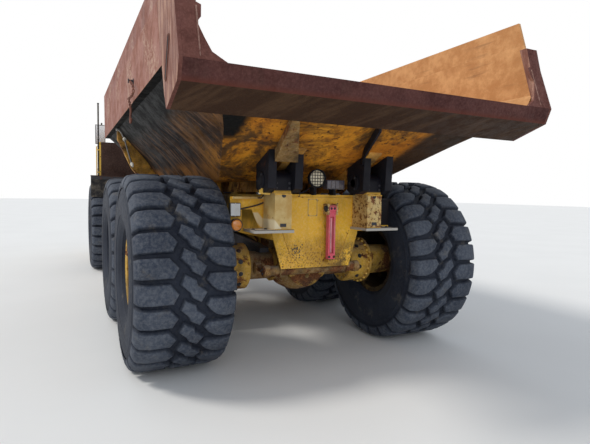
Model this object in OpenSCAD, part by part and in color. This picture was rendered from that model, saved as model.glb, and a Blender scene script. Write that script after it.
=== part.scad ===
// Three-axle articulated dump truck, in millimetres.
// +X is forward, +Y is the truck's left and +Z is up. The origin is on the ground under the
// middle of the overall length. The tail lip, the body and the rear frame are measured from
// the rear axle, and the front unit is measured from its own axle.

/* [Layout] */
// Rear axle to the tail lip's rear edge
rear_overhang = 1820; // [1800:10:1900]
// Gap between the rear and middle tyres
bogie_gap = 80; // [60:5:180]
// Middle axle to front axle
front_wheelbase = 4500; // [4450:10:4900]
// Front axle to the bumper's front face
front_overhang = 3080; // [3000:10:3300]
// Steering hinge to front axle
hitch_setback = 1400; // [1380:10:1500]
// Distance between left and right wheel centres
track = 2780; // [2760:5:2840]

/* [Wheels] */
// Tyre diameter over the lugs
tyre_d = 1870; // [1800:5:1900]
// Tyre width at the bulge of its walls
tyre_w = 875; // [840:5:900]
// Tread width
tread_w = 810; // [760:5:830]
// Rim diameter at the bead
rim_d = 737; // [720:1:760]
// Height of the tread lugs
lug_h = 45; // [30:1:60]
// Radius of the axle spindles
spindle_r = 120; // [100:1:130]
// Radius of the wheel hub's cap
hub_r = 215; // [190:1:230]

/* [Dump body] */
// Body width over the rear posts
body_w = 3360; // [3300:10:3400]
// Height of the floor's underside
floor_z = 1830; // [1825:1:1860]
// Height of the walls' lower edge
wall_low_z = 2620; // [2600:10:2660]
// Height of the seam under the sideboards
seam_z = 3150; // [3100:10:3200]
// Height of the sideboards' top
rail_z = 3370; // [3340:10:3400]
// Thickness of the body plates
plate = 25; // [20:1:30]
// Half width of the flat floor
floor_hw = 920; // [900:5:940]
// Body front, ahead of the rear axle at the rail
body_front = 4400; // [4360:10:4410]
// Where the tail ramp leaves the flat floor, behind the rear axle
ramp_start = 150; // [120:10:200]
// Angle of the tail ramp
ramp_angle = 21; // [20:0.5:22]

/* [Tipping] */
// Body hinge behind the rear axle
hinge_back = 660; // [640:5:680]
// Height of the body hinge
hinge_z = 1820; // [1815:1:1830]
// Radius of the body hinge pin
hinge_pin_r = 45; // [40:1:50]
// Hoist base pin ahead of the rear axle
hoist_base_x = 3250; // [3240:5:3300]
// Height of the hoist base pin
hoist_base_z = 950; // [930:5:970]
// Hoist rod eye ahead of the rear axle
hoist_eye_x = 1000; // [980:5:1040]
// Height of the hoist rod eye
hoist_eye_z = 1620; // [1615:1:1630]
// Distance of a hoist cylinder from the centre line
hoist_y = 700; // [695:1:705]

/* [Frame] */
// Half width over the frame rails
rail_hw = 490; // [480:5:495]
// Width of one frame rail
rail_t = 150; // [130:5:160]
// Height of the frame rails' underside above the axle centres
frame_rise = 315; // [305:5:325]
// Top of the frame rails
frame_top_z = 1690; // [1680:1:1700]
// Height of the hitch centre
hitch_z = 1150; // [1140:1:1160]
// Radius of the steering pin
steer_pin_r = 80; // [70:1:85]

/* [Front unit] */
// Half width of the cab
cab_hw = 840; // [820:5:850]
// Height of the cab floor
cab_floor_z = 1900; // [1890:5:1950]
// Height of the cab roof's underside
cab_top_z = 3580; // [3550:5:3600]
// Thickness of the cab walls
cab_wall = 60; // [50:1:70]
// Half width of the hood
hood_hw = 640; // [620:5:650]
// Height of the fender decks
deck_z = 2030; // [2020:5:2050]
// Width of the fender decks over both sides
deck_w = 3640; // [3600:10:3680]

/* [Hidden] */
$fn = 48;

// Gap of a running fit, on the radius
fit_gap = 0.05;
// Gap between faces that slide past each other
slide_gap = 0.3;
// Gap between pieces welded to each other
seat_gap = 0.02;
bogie_spacing = tyre_d + bogie_gap;
overall_length = rear_overhang + bogie_spacing + front_wheelbase + front_overhang;
rear_x = rear_overhang - overall_length / 2;
mid_x = rear_x + bogie_spacing;
front_x = mid_x + front_wheelbase;
hitch_x = front_x - hitch_setback;
// Steering hinge, ahead of the rear axle
hitch_dx = hitch_x - rear_x;
tyre_r = tyre_d / 2;
axle_z = tyre_r;
frame_low_z = axle_z + frame_rise;
wheel_y = track / 2;
body_hw = body_w / 2;

// Moves a polygon's sides inwards by t, the points given anticlockwise
function unit(v) = v / norm(v);
function side_normal(a, b) = let (u = unit(b - a)) [-u[1], u[0]];
function inset(pts, t) = [
  for (i = [0:len(pts) - 1])
    let (
      p = pts[i],
      n1 = side_normal(pts[(i + len(pts) - 1) % len(pts)], p),
      n2 = side_normal(p, pts[(i + 1) % len(pts)])
    )
    p + t * (n1 + n2) / (1 + n1 * n2)
];

// A profile in X and Z, extruded across the truck from y0 to y1
module across(y0, y1) {
  translate([0, y1, 0]) rotate([90, 0, 0]) linear_extrude(y1 - y0) children();
}
// A section in Y and Z, extruded along the truck from x0 to x1
module along(x0, x1) {
  translate([x0, 0, 0]) rotate([90, 0, 90]) linear_extrude(x1 - x0) children();
}
module both_sides() {
  children();
  mirror([0, 1, 0]) children();
}
module box(x, y, z) {
  translate([x[0], y[0], z[0]]) cube([x[1] - x[0], y[1] - y[0], z[1] - z[0]]);
}
module cyl_y(x, z, r, y0, y1, sides = $fn) {
  translate([x, y1, z]) rotate([90, 0, 0]) cylinder(r = r, h = y1 - y0, $fn = sides);
}
module cyl_x(y, z, r, x0, x1) {
  translate([x0, y, z]) rotate([0, 90, 0]) cylinder(r = r, h = x1 - x0);
}
module cyl_z(x, y, r, z0, z1) {
  translate([x, y, z0]) cylinder(r = r, h = z1 - z0);
}
module at_rear() translate([rear_x, 0, 0]) children();
module at_front() translate([front_x, 0, 0]) children();

// Wheels

// Half section of the tyre: radius and distance from the tyre's middle plane
tyre_side_r = tyre_w / 2;
bead_w = 660;
module tyre_section() {
  shoulder_r = tyre_r - lug_h - 20;
  polygon([
    [rim_d / 2, -bead_w / 2], [rim_d / 2 + 60, -bead_w / 2 - 25],
    [rim_d / 2 + 150, -tyre_side_r + 14], [rim_d / 2 + 250, -tyre_side_r],
    [rim_d / 2 + 350, -tyre_side_r + 6], [shoulder_r, -tread_w / 2],
    [tyre_r - 25, -tread_w / 2 + 25], [tyre_r, -tread_w / 2 + 110],
    [tyre_r, tread_w / 2 - 110], [tyre_r - 25, tread_w / 2 - 25],
    [shoulder_r, tread_w / 2], [rim_d / 2 + 350, tyre_side_r - 6],
    [rim_d / 2 + 250, tyre_side_r], [rim_d / 2 + 150, tyre_side_r - 14],
    [rim_d / 2 + 60, bead_w / 2 + 25], [rim_d / 2, bead_w / 2],
    [rim_d / 2, bead_w / 2 - 60], [rim_d / 2 + 80, bead_w / 2 - 90],
    [rim_d / 2 + 80, -bead_w / 2 + 90], [rim_d / 2, -bead_w / 2 + 60]
  ]);
}
module tyre_at(x, side) {
  color([0.13, 0.14, 0.16])
    translate([x, side * wheel_y, axle_z])
      rotate([90, 0, 0]) rotate_extrude() tyre_section();
}

// Rim section, the wheel's outside on the negative side: barrel with flanges, disc and hub cap
rim_t = 22;
disc_back = 95;
hub_len = 190;
module rim_section() {
  r = rim_d / 2;
  polygon([
    [spindle_r + fit_gap, -disc_back + 60], [spindle_r + fit_gap, -disc_back - 20],
    [0, -disc_back - 20], [0, -disc_back - hub_len], [hub_r - 60, -disc_back - hub_len],
    [hub_r, -disc_back - hub_len + 60], [hub_r, -disc_back - 40], [r - 90, -disc_back - 20],
    [r - rim_t, -disc_back - 60], [r - rim_t, -bead_w / 2 - 15], [r + 30, -bead_w / 2 - 28],
    [r + 30, -bead_w / 2 - 26], [r - slide_gap, -bead_w / 2 - 10],
    [r - slide_gap, bead_w / 2 + 10], [r + 30, bead_w / 2 + 26], [r + 30, bead_w / 2 + 28],
    [r - rim_t, bead_w / 2 + 15], [r - rim_t, -disc_back + 5], [hub_r, -disc_back + 20],
    [hub_r - 20, -disc_back + 60]
  ]);
}
module rim_at(x, side) {
  color([0.75, 0.55, 0.12])
    translate([x, side * wheel_y, axle_z])
      mirror([0, side < 0 ? 1 : 0, 0]) rotate([90, 0, 0])
        rotate_extrude() rim_section();
}

// Axles

drum_r = 240;
axle_r = 150;
module axle_at(x) {
  spindle_end = wheel_y + disc_back + 10;
  translate([x, 0, 0]) {
    difference() {
      translate([0, 0, axle_z]) rotate([-90, 0, 0]) union() {
        cylinder(r = axle_r, h = 2 * wheel_y - 500, center = true);
        rotate([0, 90, 0]) cylinder(r = 290, h = 300, center = true);
        rotate([0, 90, 0]) cylinder(r1 = 220, r2 = 120, h = 260);
      }
      cyl_y(0, axle_z, 60, -30, 30);
    }
    both_sides() {
      cyl_y(0, axle_z, drum_r, 600, 830);
      cyl_y(0, axle_z, drum_r + 25, 830, 860);
      cyl_y(0, axle_z, spindle_r + 50, 850, wheel_y + disc_back - 80);
      cyl_y(0, axle_z, spindle_r, 850, spindle_end);
    }
  }
}
module mid_axle() { color([0.7, 0.5, 0.12]) axle_at(mid_x); }
module rear_axle() { color([0.7, 0.5, 0.12]) axle_at(rear_x); }
module front_axle() { color([0.7, 0.5, 0.12]) axle_at(front_x); }

// Rear frame, measured from the rear axle

frame_back = -480;
neck_hw = 280;
neck_front = hitch_dx - 600;
module frame_profile() {
  polygon([
    [frame_back, frame_low_z], [frame_back, frame_top_z], [3250, frame_top_z],
    [neck_front, hitch_z + 300], [neck_front, hitch_z - 300], [3550, hitch_z - 200],
    [3050, frame_low_z]
  ]);
}
module frame_plan() {
  outer = [
    [frame_back, -rail_hw], [2900, -rail_hw], [4100, -neck_hw], [neck_front, -neck_hw],
    [neck_front, neck_hw], [4100, neck_hw], [2900, rail_hw], [frame_back, rail_hw]
  ];
  windows = [[-400, 600], [780, 1880], [2060, 2900]];
  difference() {
    polygon(outer);
    for (w = windows)
      translate([w[0], -rail_hw + rail_t]) square([w[1] - w[0], 2 * (rail_hw - rail_t)]);
  }
}
end_plate = [[-490, 1700], [-490, 1300], [-390, 960], [390, 960], [490, 1300], [490, 1700]];
module rear_frame() {
  color([0.85, 0.6, 0.1]) at_rear() {
    intersection() {
      across(-rail_hw - 10, rail_hw + 10) frame_profile();
      translate([0, 0, 500]) linear_extrude(1500) frame_plan();
    }
    // End plate with its short side plates
    difference() {
      along(frame_back - 20, frame_back + 130) polygon(end_plate);
      along(frame_back, frame_back + 140) polygon(inset(end_plate, -20));
    }
    both_sides() hinge_post();
    both_sides() tail_wing();
    // Pads that the body rests on
    for (x = [600, 1500, 2400])
      both_sides() box([x, x + 240], [rail_hw - rail_t + 20, rail_hw - 20], [frame_top_z, rest_z]);
    // Hoist cross tube and its hangers
    cyl_y(hoist_base_x, hoist_base_z, 70, -860, 860);
    both_sides() {
      across(hoist_y - 170, hoist_y - 125) polygon([
        [hoist_base_x - 110, hoist_base_z - 90], [hoist_base_x + 110, hoist_base_z - 90],
        [hoist_base_x + 200, 1300], [hoist_base_x - 200, 1300]
      ]);
      box([hoist_base_x - 200, hoist_base_x + 200], [300, hoist_y - 125], [1300, 1420]);
      cyl_y(hoist_base_x, hoist_base_z, 95, 830, 860);
    }
    // Clevis and ledge of the service prop
    for (y = [prop_y - 58, prop_y + 40 + slide_gap])
      box([prop_x - 40, frame_back - 20], [y, y + 18 - slide_gap], [prop_top_z - 60, prop_top_z + 50]);
    cyl_y(prop_x, prop_top_z, 18, prop_y - 58, prop_y + 58);
    box([prop_x - 30, frame_back - 20], [prop_y - 40, prop_y + 40], [1020, 1045]);
    // Hitch bearing ring
    cyl_x(0, hitch_z, 310, neck_front, hitch_roll_x);
    // Centre trunnions of the walking beams
    both_sides() cyl_y(bogie_spacing / 2, beam_z, 60, 320, 500);
    both_sides() box([bogie_spacing / 2 - 90, bogie_spacing / 2 + 90], [335, 375], [beam_z - 80, frame_low_z + 50]);
  }
}
hitch_roll_x = neck_front + 110;
rest_z = 1715;
post_y = [420, 590];
module hinge_post() {
  difference() {
    union() {
      box([-780, frame_back], post_y, [1370, 1700]);
      box([-hinge_back - 100, -hinge_back + 100], post_y, [1690, hinge_z]);
      cyl_y(-hinge_back, hinge_z, 100, post_y[0], post_y[1]);
    }
    cyl_y(-hinge_back, hinge_z, hinge_pin_r + fit_gap, 400, 700);
  }
  box([-800, frame_back], [post_y[0] - 20, 790], [1345, 1370]);
}
module tail_wing() {
  along(frame_back, frame_back + 20)
    polygon([[480, 1320], [600, 1320], [700, 1550], [800, 1550],
      [800, 1350], [910, 1350], [910, 1670], [480, 1670]]);
  box([frame_back - 60, frame_back + 20], [590, 900], [1650, 1670]);
}
beam_z = axle_z + 230;
axle_top = axle_z + axle_r + slide_gap;
beam_seat = 150;
module bogie_beams() {
  color([0.3, 0.27, 0.2]) at_rear() both_sides() difference() {
      across(380, 480) polygon([
        [-beam_seat, axle_top], [beam_seat, axle_top], [bogie_spacing / 2 - 200, axle_top - 40],
        [bogie_spacing / 2 + 200, axle_top - 40], [bogie_spacing - beam_seat, axle_top],
        [bogie_spacing + beam_seat, axle_top], [bogie_spacing + beam_seat, axle_top + 50],
        [bogie_spacing / 2 + 100, beam_z + 75], [bogie_spacing / 2 - 100, beam_z + 75],
        [-beam_seat, axle_top + 50]
      ]);
    cyl_y(bogie_spacing / 2, beam_z, 60 + fit_gap, 370, 490);
  }
}
module tail_lamps() {
  color([0.9, 0.5, 0.1]) at_rear() both_sides() {
    cyl_x(860, 1400, 45, frame_back - 60, frame_back);
    box([frame_back - 50, frame_back], [820, 900], [1470, 1549]);
  }
}
module work_lamps() {
  color([0.2, 0.2, 0.2]) at_rear() {
    cyl_x(10, 1835, 100, -600, -520);
    box([-560, frame_back], [-5, 25], [1700, 1750]);
    box([-600, -520], [-310, -110], [1765, 1850]);
    box([-580, frame_back], [-220, -200], [1700, 1766]);
  }
}
prop_y = -125;
prop_top_z = 1560;
prop_x = -570;
module prop_strut() {
  color([0.85, 0.25, 0.4]) at_rear() difference() {
    union() {
      box([prop_x - 25, prop_x + 25], [prop_y - 40, prop_y + 40], [1050, prop_top_z]);
      cyl_y(prop_x, prop_top_z, 40, prop_y - 40, prop_y + 40);
    }
    cyl_y(prop_x, prop_top_z, 18 + fit_gap, prop_y - 60, prop_y + 60);
    box([prop_x - 40, prop_x + 5], [prop_y - 22, prop_y + 22], [1100, 1480]);
  }
}

// Dump body, measured from the rear axle

function ramp_z(x) = floor_z + (-ramp_start - x) * tan(ramp_angle);
lip_low = [-1770, 2380];
lip_top = [-rear_overhang, 2510];
lip_front = [-1430, 2258];
wall_hw = body_hw - 25;
side_profile = [
  [-1770, ramp_z(-1770)], [-ramp_start, floor_z], [body_front - 900, floor_z],
  [body_front - 120, wall_low_z], [body_front, rail_z], [-1470, rail_z], [-1700, 2620]
];
cross_section = [
  [-wall_hw, rail_z], [-wall_hw, wall_low_z], [-wall_hw + 80, wall_low_z], [-1180, 2200],
  [-floor_hw, floor_z], [floor_hw, floor_z], [1180, 2200], [wall_hw - 80, wall_low_z],
  [wall_hw, wall_low_z], [wall_hw, rail_z]
];
inner_section = [
  [-wall_hw + plate, rail_z + 100], [-wall_hw + plate, wall_low_z + plate],
  [-wall_hw + 80, wall_low_z + plate],
  [-1180 + plate / 2, 2200 + plate], [-floor_hw + plate / 2, floor_z + plate],
  [floor_hw - plate / 2, floor_z + plate], [1180 - plate / 2, 2200 + plate],
  [wall_hw - 80, wall_low_z + plate],
  [wall_hw - plate, wall_low_z + plate], [wall_hw - plate, rail_z + 100]
];
inner_profile = [
  [-1900, ramp_z(-1900) + plate], [-ramp_start, floor_z + plate],
  [body_front - 900 - plate / 2, floor_z + plate],
  [body_front - 120 - 1.2 * plate, wall_low_z + plate], [body_front - plate, rail_z + 100],
  [-1900, rail_z + 100]
];
module body_solid() {
  intersection() {
    across(-body_hw, body_hw) polygon(side_profile);
    along(-1900, body_front + 100) polygon(cross_section);
  }
}
module body_void() {
  intersection() {
    across(-body_hw, body_hw) polygon(inner_profile);
    along(-2000, body_front + 200) polygon(inner_section);
  }
}
// Everything ahead of this line is the front wall
wall_join = [[body_front - 900, floor_z - 50], [body_front - 900, floor_z + plate + 10],
  [body_front - 190, wall_low_z + 10], [body_front - 60, rail_z + 50],
  [body_front + 200, rail_z + 50], [body_front + 200, floor_z - 50]];
module body_tub() {
  color([0.45, 0.2, 0.13]) at_rear() difference() {
    body_solid();
    body_void();
    across(-2000, 2000) polygon(wall_join);
    box([-3000, 5000], [-2000, 2000], [seam_z, rail_z + 100]);
  }
}
module body_front_wall() {
  color([0.5, 0.25, 0.12]) at_rear() difference() {
    intersection() {
      body_solid();
      across(-2000, 2000) polygon(wall_join);
    }
    body_void();
  }
}
module sideboards() {
  color([0.48, 0.22, 0.15]) at_rear() difference() {
    body_solid();
    body_void();
    across(-2000, 2000) polygon(wall_join);
    box([-3000, 5000], [-2000, 2000], [0, seam_z]);
  }
}
module tail_lip() {
  color([0.35, 0.16, 0.13]) at_rear() {
    across(-wall_hw, wall_hw) polygon([
      lip_front, lip_low, lip_top, [-1770 - seat_gap, ramp_z(-1770) + plate],
      [-1770 - seat_gap, ramp_z(-1770) - seat_gap], [-1430, ramp_z(-1430) - seat_gap]
    ]);
  }
}
module rear_posts() {
  color([0.4, 0.2, 0.15]) at_rear() both_sides() across(wall_hw, body_hw) polygon([
    [-1070, 3080], [-1360, 2370], lip_front, lip_low, lip_top, [-1690, 2880], [-1640, 3080]
  ]);
}
rib_xs = [300, 1150, 2000, 2850];
rib_d = 60;
rib_section = inset(cross_section, -rib_d);
module body_underframe() {
  color([0.7, 0.45, 0.1]) at_rear() {
    // Beams under the floor
    both_sides() across(rail_hw - rail_t, rail_hw) polygon([
      [-200, rest_z], [3300, rest_z], [3400, floor_z - seat_gap], [-ramp_start, floor_z - seat_gap],
      [-900, ramp_z(-900) - seat_gap], [-900, ramp_z(-900) - 20]
    ]);
    // Ribs up the sloped sides
    for (x = rib_xs) difference() {
      intersection() {
        along(x, x + 80) polygon(rib_section);
        box([-2000, 5000], [-wall_hw, wall_hw], [floor_z - 1, wall_low_z]);
      }
      along(-2000, 5000) polygon(inset(cross_section, -seat_gap));
      box([-2000, 5000], [-floor_hw, floor_hw], [0, floor_z]);
    }
    both_sides() hinge_ears();
    both_sides() hoist_clevis();
  }
}
ear_gap = 8;
module hinge_ears() {
  for (y = [[post_y[0] - ear_gap - 80, post_y[0] - ear_gap], [post_y[1] + ear_gap, post_y[1] + ear_gap + 80]])
    across(y[0], y[1]) polygon([
      [-hinge_back + 110, hinge_z - 60], [-hinge_back + 110, ramp_z(-hinge_back + 110) - seat_gap],
      [-1000, ramp_z(-1000) - seat_gap], [-hinge_back - 110, hinge_z - 60], [-hinge_back - 60, hinge_z - 110],
      [-hinge_back + 60, hinge_z - 110]
    ]);
  cyl_y(-hinge_back, hinge_z, hinge_pin_r, post_y[0] - ear_gap - 10, post_y[1] + ear_gap + 10);
}
module hoist_clevis() {
  for (y = [[hoist_y - 105, hoist_y - 60], [hoist_y + 60, hoist_y + 105]])
    across(y[0], y[1]) polygon([
      [hoist_eye_x - 80, hoist_eye_z - 80], [hoist_eye_x + 80, hoist_eye_z - 80],
      [hoist_eye_x + 160, floor_z - seat_gap], [hoist_eye_x - 160, floor_z - seat_gap]
    ]);
}

// Hoist cylinders

hoist_vec = [hoist_eye_x - hoist_base_x, hoist_eye_z - hoist_base_z];
hoist_len = norm(hoist_vec);
// Tilt of the cylinder from level, its rod pointing to the rear
hoist_tilt = atan2(hoist_vec[1], -hoist_vec[0]);
hoist_barrel_r = 105;
hoist_rod_r = 60;
barrel_len = hoist_len - 190;
module hoist_frame() {
  at_rear() translate([hoist_base_x, 0, hoist_base_z]) rotate([0, hoist_tilt, 0])
    mirror([1, 0, 0]) children();
}
module hoist_barrels() {
  color([0.6, 0.45, 0.12]) hoist_frame() both_sides() difference() {
    union() {
      cyl_y(0, 0, 120, hoist_y - 70, hoist_y + 70);
      cyl_x(hoist_y, 0, hoist_barrel_r, 100, barrel_len);
    }
    cyl_y(0, 0, 70 + fit_gap, hoist_y - 80, hoist_y + 80);
    cyl_x(hoist_y, 0, hoist_rod_r + fit_gap, 400, barrel_len + 1);
  }
}
module hoist_rods() {
  color([0.75, 0.75, 0.75]) hoist_frame() both_sides() {
    cyl_x(hoist_y, 0, hoist_rod_r, 405, hoist_len - 60);
    difference() {
      cyl_y(hoist_len, 0, 80, hoist_y - 45, hoist_y + 45);
      cyl_y(hoist_len, 0, 40, hoist_y - 50, hoist_y + 50);
    }
  }
}

// Hitch, measured from the steering hinge

boss_r = 160;
boss_z = [850, 1450];
module at_hitch() translate([hitch_x, 0, 0]) children();
steer_fix = [1050, 360];
steer_eye = [-150, 360];
steer_z = 1020;
module hitch_yoke() {
  back = hitch_roll_x - hitch_dx + slide_gap;
  color([0.8, 0.58, 0.12]) at_hitch() {
    cyl_x(0, hitch_z, 290, back, back + 60);
    difference() {
      union() {
        box([back + 50, 0], [-boss_r, boss_r], [boss_z[0] + 20, boss_z[1] - 20]);
        cyl_z(0, 0, boss_r, boss_z[0], boss_z[1]);
      }
      cyl_z(0, 0, steer_pin_r + fit_gap, boss_z[0] - 10, boss_z[1] + 10);
    }
    both_sides() for (z = [[steer_z - 85, steer_z - 50], [steer_z + 50, steer_z + 85]])
      difference() {
        translate([0, 0, z[0]]) linear_extrude(z[1] - z[0]) polygon([
          [steer_eye[0] - 180, boss_r - 20], [steer_eye[0] + 60, boss_r - 20],
          [steer_eye[0] + 60, steer_eye[1] + 50], [steer_eye[0] - 60, steer_eye[1] + 50]
        ]);
        cyl_z(steer_eye[0], steer_eye[1], 30, z[0] - 1, z[1] + 1);
      }
  }
}
steer_vec = steer_eye - steer_fix;
steer_len = norm(steer_vec);
steer_dir = atan2(steer_vec[1], steer_vec[0]);
module steer_frame(side) {
  at_hitch() mirror([0, side < 0 ? 1 : 0, 0])
    translate([steer_fix[0], steer_fix[1], steer_z]) rotate([0, 0, steer_dir]) children();
}
module steer_barrel(side) {
  color([0.6, 0.45, 0.12]) steer_frame(side) difference() {
    union() {
      cyl_z(0, 0, 60, -40, 40);
      cyl_x(0, 0, 36, 40, 90);
      cyl_x(0, 0, 62, 85, 690);
    }
    cyl_z(0, 0, 30 + fit_gap, -50, 50);
    cyl_x(0, 0, 32 + fit_gap, 90, 691);
  }
}
module steer_rod(side) {
  color([0.75, 0.75, 0.75]) steer_frame(side) {
    cyl_x(0, 0, 32, 370, steer_len - 40);
    difference() {
      cyl_z(steer_len, 0, 50, -36, 36);
      cyl_z(steer_len, 0, 28, -40, 40);
    }
  }
}

// Front unit, measured from the front axle

fr_back = -hitch_setback;
web_hw = 180;
module front_frame() {
  color([0.8, 0.58, 0.12]) {
    at_hitch() {
      for (z = [[boss_z[1] + 10, boss_z[1] + 70], [boss_z[0] - 70, boss_z[0] - 10]]) {
        cyl_z(0, 0, boss_r + 10, z[0], z[1]);
        box([0, 400], [-boss_r - 10, boss_r + 10], z);
      }
      cyl_z(0, 0, steer_pin_r, boss_z[0] - 60, boss_z[1] + 60);
      both_sides() for (z = [[steer_z - 85, steer_z - 50], [steer_z + 50, steer_z + 85]])
        box([steer_fix[0] - 60, steer_fix[0] + 60], [web_hw - 10, steer_fix[1] + 60], z);
      both_sides() cyl_z(steer_fix[0], steer_fix[1], 30, steer_z - 70, steer_z + 70);
    }
    at_front() {
      across(-web_hw, web_hw) polygon([
        [fr_back + 240, 780], [-450, 780], [-250, 1240], [250, 1240], [250, 1520],
        [fr_back + 240, 1520]
      ]);
      both_sides() across(280, 420) polygon([
        [-500, 1130], [500, 1130], [700, 950], [front_overhang - 200, 950],
        [front_overhang - 200, 1420], [650, 1420], [450, 1500], [-500, 1500]
      ]);
      for (x = [[-300, -100], [400, 560], [front_overhang - 400, front_overhang - 200]])
        box(x, [-420, 420], [1245, 1400]);
      both_sides() box([-120, 120], [300, 400], [axle_top, 1200]);
      // Lugs that carry the hood's hinge pins
      both_sides() box([hood_pin_x - 40, hood_pin_x + 30], [400, 455], [1400, hood_pin_z + 40]);
      both_sides() cyl_y(hood_pin_x, hood_pin_z, 20, 440, 490);
      // Bumper
      difference() {
        box([front_overhang - 200, front_overhang], [-1250, 1250], [700, 1320]);
        box([front_overhang - 180, front_overhang - 40], [-1400, 1400], [720, 1300]);
      }
    }
  }
}
module engine() {
  color([0.25, 0.25, 0.25]) at_front() box([hood_back + 40, 2200], [slide_gap - 280, 280 - slide_gap], [1000, 2050]);
}

hood_back = 800;
hood_front = 2850;
hood_low = 1520;
hood_pin_x = 2790;
hood_pin_z = 1500;
hood_profile = [
  [hood_back, hood_low], [hood_front, hood_low], [hood_front, 2080], [hood_front - 250, 2230],
  [hood_back, 2560]
];
module hood() {
  color([0.85, 0.62, 0.12]) at_front() difference() {
    across(-hood_hw, hood_hw) polygon(hood_profile);
    across(-hood_hw + 25, hood_hw - 25) polygon([
      [hood_back - 10, hood_low - 10], [hood_front - 25, hood_low - 10],
      [hood_front - 25, 2065], [hood_front - 270, 2205], [hood_back - 10, 2537]
    ]);
    box([hood_front - 40, hood_front + 10], [-520, 520], [1600, 2040]);
  }
  color([0.85, 0.62, 0.12]) at_front() both_sides() difference() {
    union() {
      cyl_y(hood_pin_x, hood_pin_z, 38, 456, 486);
      box([hood_pin_x - 38, hood_front - 20], [456, 486], [hood_pin_z, hood_pin_z + 90]);
    }
    cyl_y(hood_pin_x, hood_pin_z, 20 + fit_gap, 450, 500);
  }
}
module grille() {
  color([0.15, 0.15, 0.15]) at_front() {
    for (i = [0:7])
      box([hood_front - 25, hood_front], [-520, 520], [1605 + 54 * i, 1605 + 54 * i + 30]);
    for (y = [-520, -10, 500]) box([hood_front - 60, hood_front - 25], [y, y + 20], [1590, 2050]);
  }
}
module headlamps() {
  color([0.9, 0.9, 0.9]) at_front() both_sides()
    box([front_overhang - 40, front_overhang - 5], [850, 1150], [1320 + slide_gap, 1500]);
}
arch_r = tyre_r + 110;
deck_in = 645;
module front_fenders() {
  color([0.85, 0.62, 0.12]) at_front() both_sides() {
    difference() {
      union() {
        cyl_y(0, axle_z, arch_r + 25, 940, deck_w / 2, 180);
        box([-850, 1050], [cab_hw + 20, deck_w / 2], [deck_z - 30, deck_z]);
      }
      cyl_y(0, axle_z, arch_r, 900, deck_w, 180);
      box([-2000, 2000], [900, deck_w], [-500, axle_z + 250]);
    }
    // Steps ahead of the wheel
    box([1050, 1500], [hood_hw + 20, deck_w / 2 - 100], [deck_z - 30, deck_z]);
    box([1470, 1500], [hood_hw + 200, deck_w / 2 - 100], [900, deck_z]);
    for (z = [600, 900, 1250, 1620])
      box([1500, 1700], [deck_w / 2 - 700, deck_w / 2 - 100], [z, z + 30]);
    for (y = [deck_w / 2 - 730, deck_w / 2 - 100])
      box([1480, 1700], [y, y + 30], [600, deck_z - 100]);
    box([1000, 1480], [420, 900], [1380, 1420]);
  }
}
guard_x = -550;
module rear_guard() {
  color([0.3, 0.17, 0.12]) at_front() {
    box([guard_x, guard_x + 25], [-1650, 1650], [deck_z, 2710]);
    both_sides() box([guard_x, guard_x + 90], [1600, 1650], [deck_z, 2710]);
  }
}
module exhaust_stack() {
  color([0.35, 0.3, 0.28]) at_front() {
    cyl_z(-350, -1150, 110, deck_z, 2900);
    difference() {
      cyl_z(-350, -1150, 60, 2890, 3500);
      cyl_z(-350, -1150, 54, 3000, 3510);
    }
  }
}
module mirrors() {
  color([0.15, 0.15, 0.15]) at_front() both_sides() {
    cyl_z(1000, 1500, 18, deck_z, 3300);
    box([960, 1000], [1420, 1640], [2800, 3250]);
  }
}

// Cab, measured from the front axle

cab_back = -500;
cab_front = 780;
cab_side = [
  [cab_back, cab_floor_z], [cab_front, cab_floor_z], [cab_front, 2500], [cab_front - 180, cab_top_z],
  [cab_back + 60, cab_top_z], [cab_back, 2600]
];
door_x = [-322, 512];
sill_z = cab_floor_z + 700;
window_top = cab_top_z - 130;
door_z = [cab_floor_z + 155, window_top];
hinge_zs = [cab_floor_z + 400, cab_top_z - 530];
module knuckle(z0, z1) {
  cyl_z(door_x[0] - 8, cab_hw + 17, 16, z0, z1);
  box([door_x[0] - 30, door_x[0] - 8], [cab_hw, cab_hw + 16], [z0, z1]);
}
module cab_shell() {
  color([0.85, 0.62, 0.12]) at_front() {
    difference() {
      across(-cab_hw, cab_hw) polygon(cab_side);
      across(-cab_hw + cab_wall, cab_hw - cab_wall) polygon([
        [cab_back + cab_wall, cab_floor_z + cab_wall], [cab_front - cab_wall, cab_floor_z + cab_wall],
        [cab_front - cab_wall, 2500], [cab_front - 180 - cab_wall, cab_top_z - 1],
        [cab_back + 60 + cab_wall, cab_top_z - 1], [cab_back + cab_wall, 2600]
      ]);
      // Windscreen and rear window
      box([cab_front - 400, cab_front + 10], [-cab_hw + 130, cab_hw - 130], [sill_z, window_top]);
      box([cab_back - 10, cab_back + 200], [-cab_hw + 160, cab_hw - 160], [sill_z + 150, window_top]);
      // Right side window, left door opening
      box([-300, 480], [-cab_hw - 10, -cab_hw + 100], [sill_z, window_top]);
      box([door_x[0] - 8, door_x[1] + 8], [cab_hw - 100, cab_hw + 10], [door_z[0] - 8, door_z[1] + 8]);
    }
    box([cab_back - 30, cab_front + 60], [-cab_hw - 30, cab_hw + 30], [cab_top_z, cab_top_z + 120]);
    // Cab mounts
    both_sides() for (x = [-200, 350]) cyl_z(x, 350, 50, 1500, cab_floor_z);
    for (z = hinge_zs) {
      knuckle(z, z + 60);
      cyl_z(door_x[0] - 8, cab_hw + 17, 8, z, z + 120);
    }
  }
}
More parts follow.
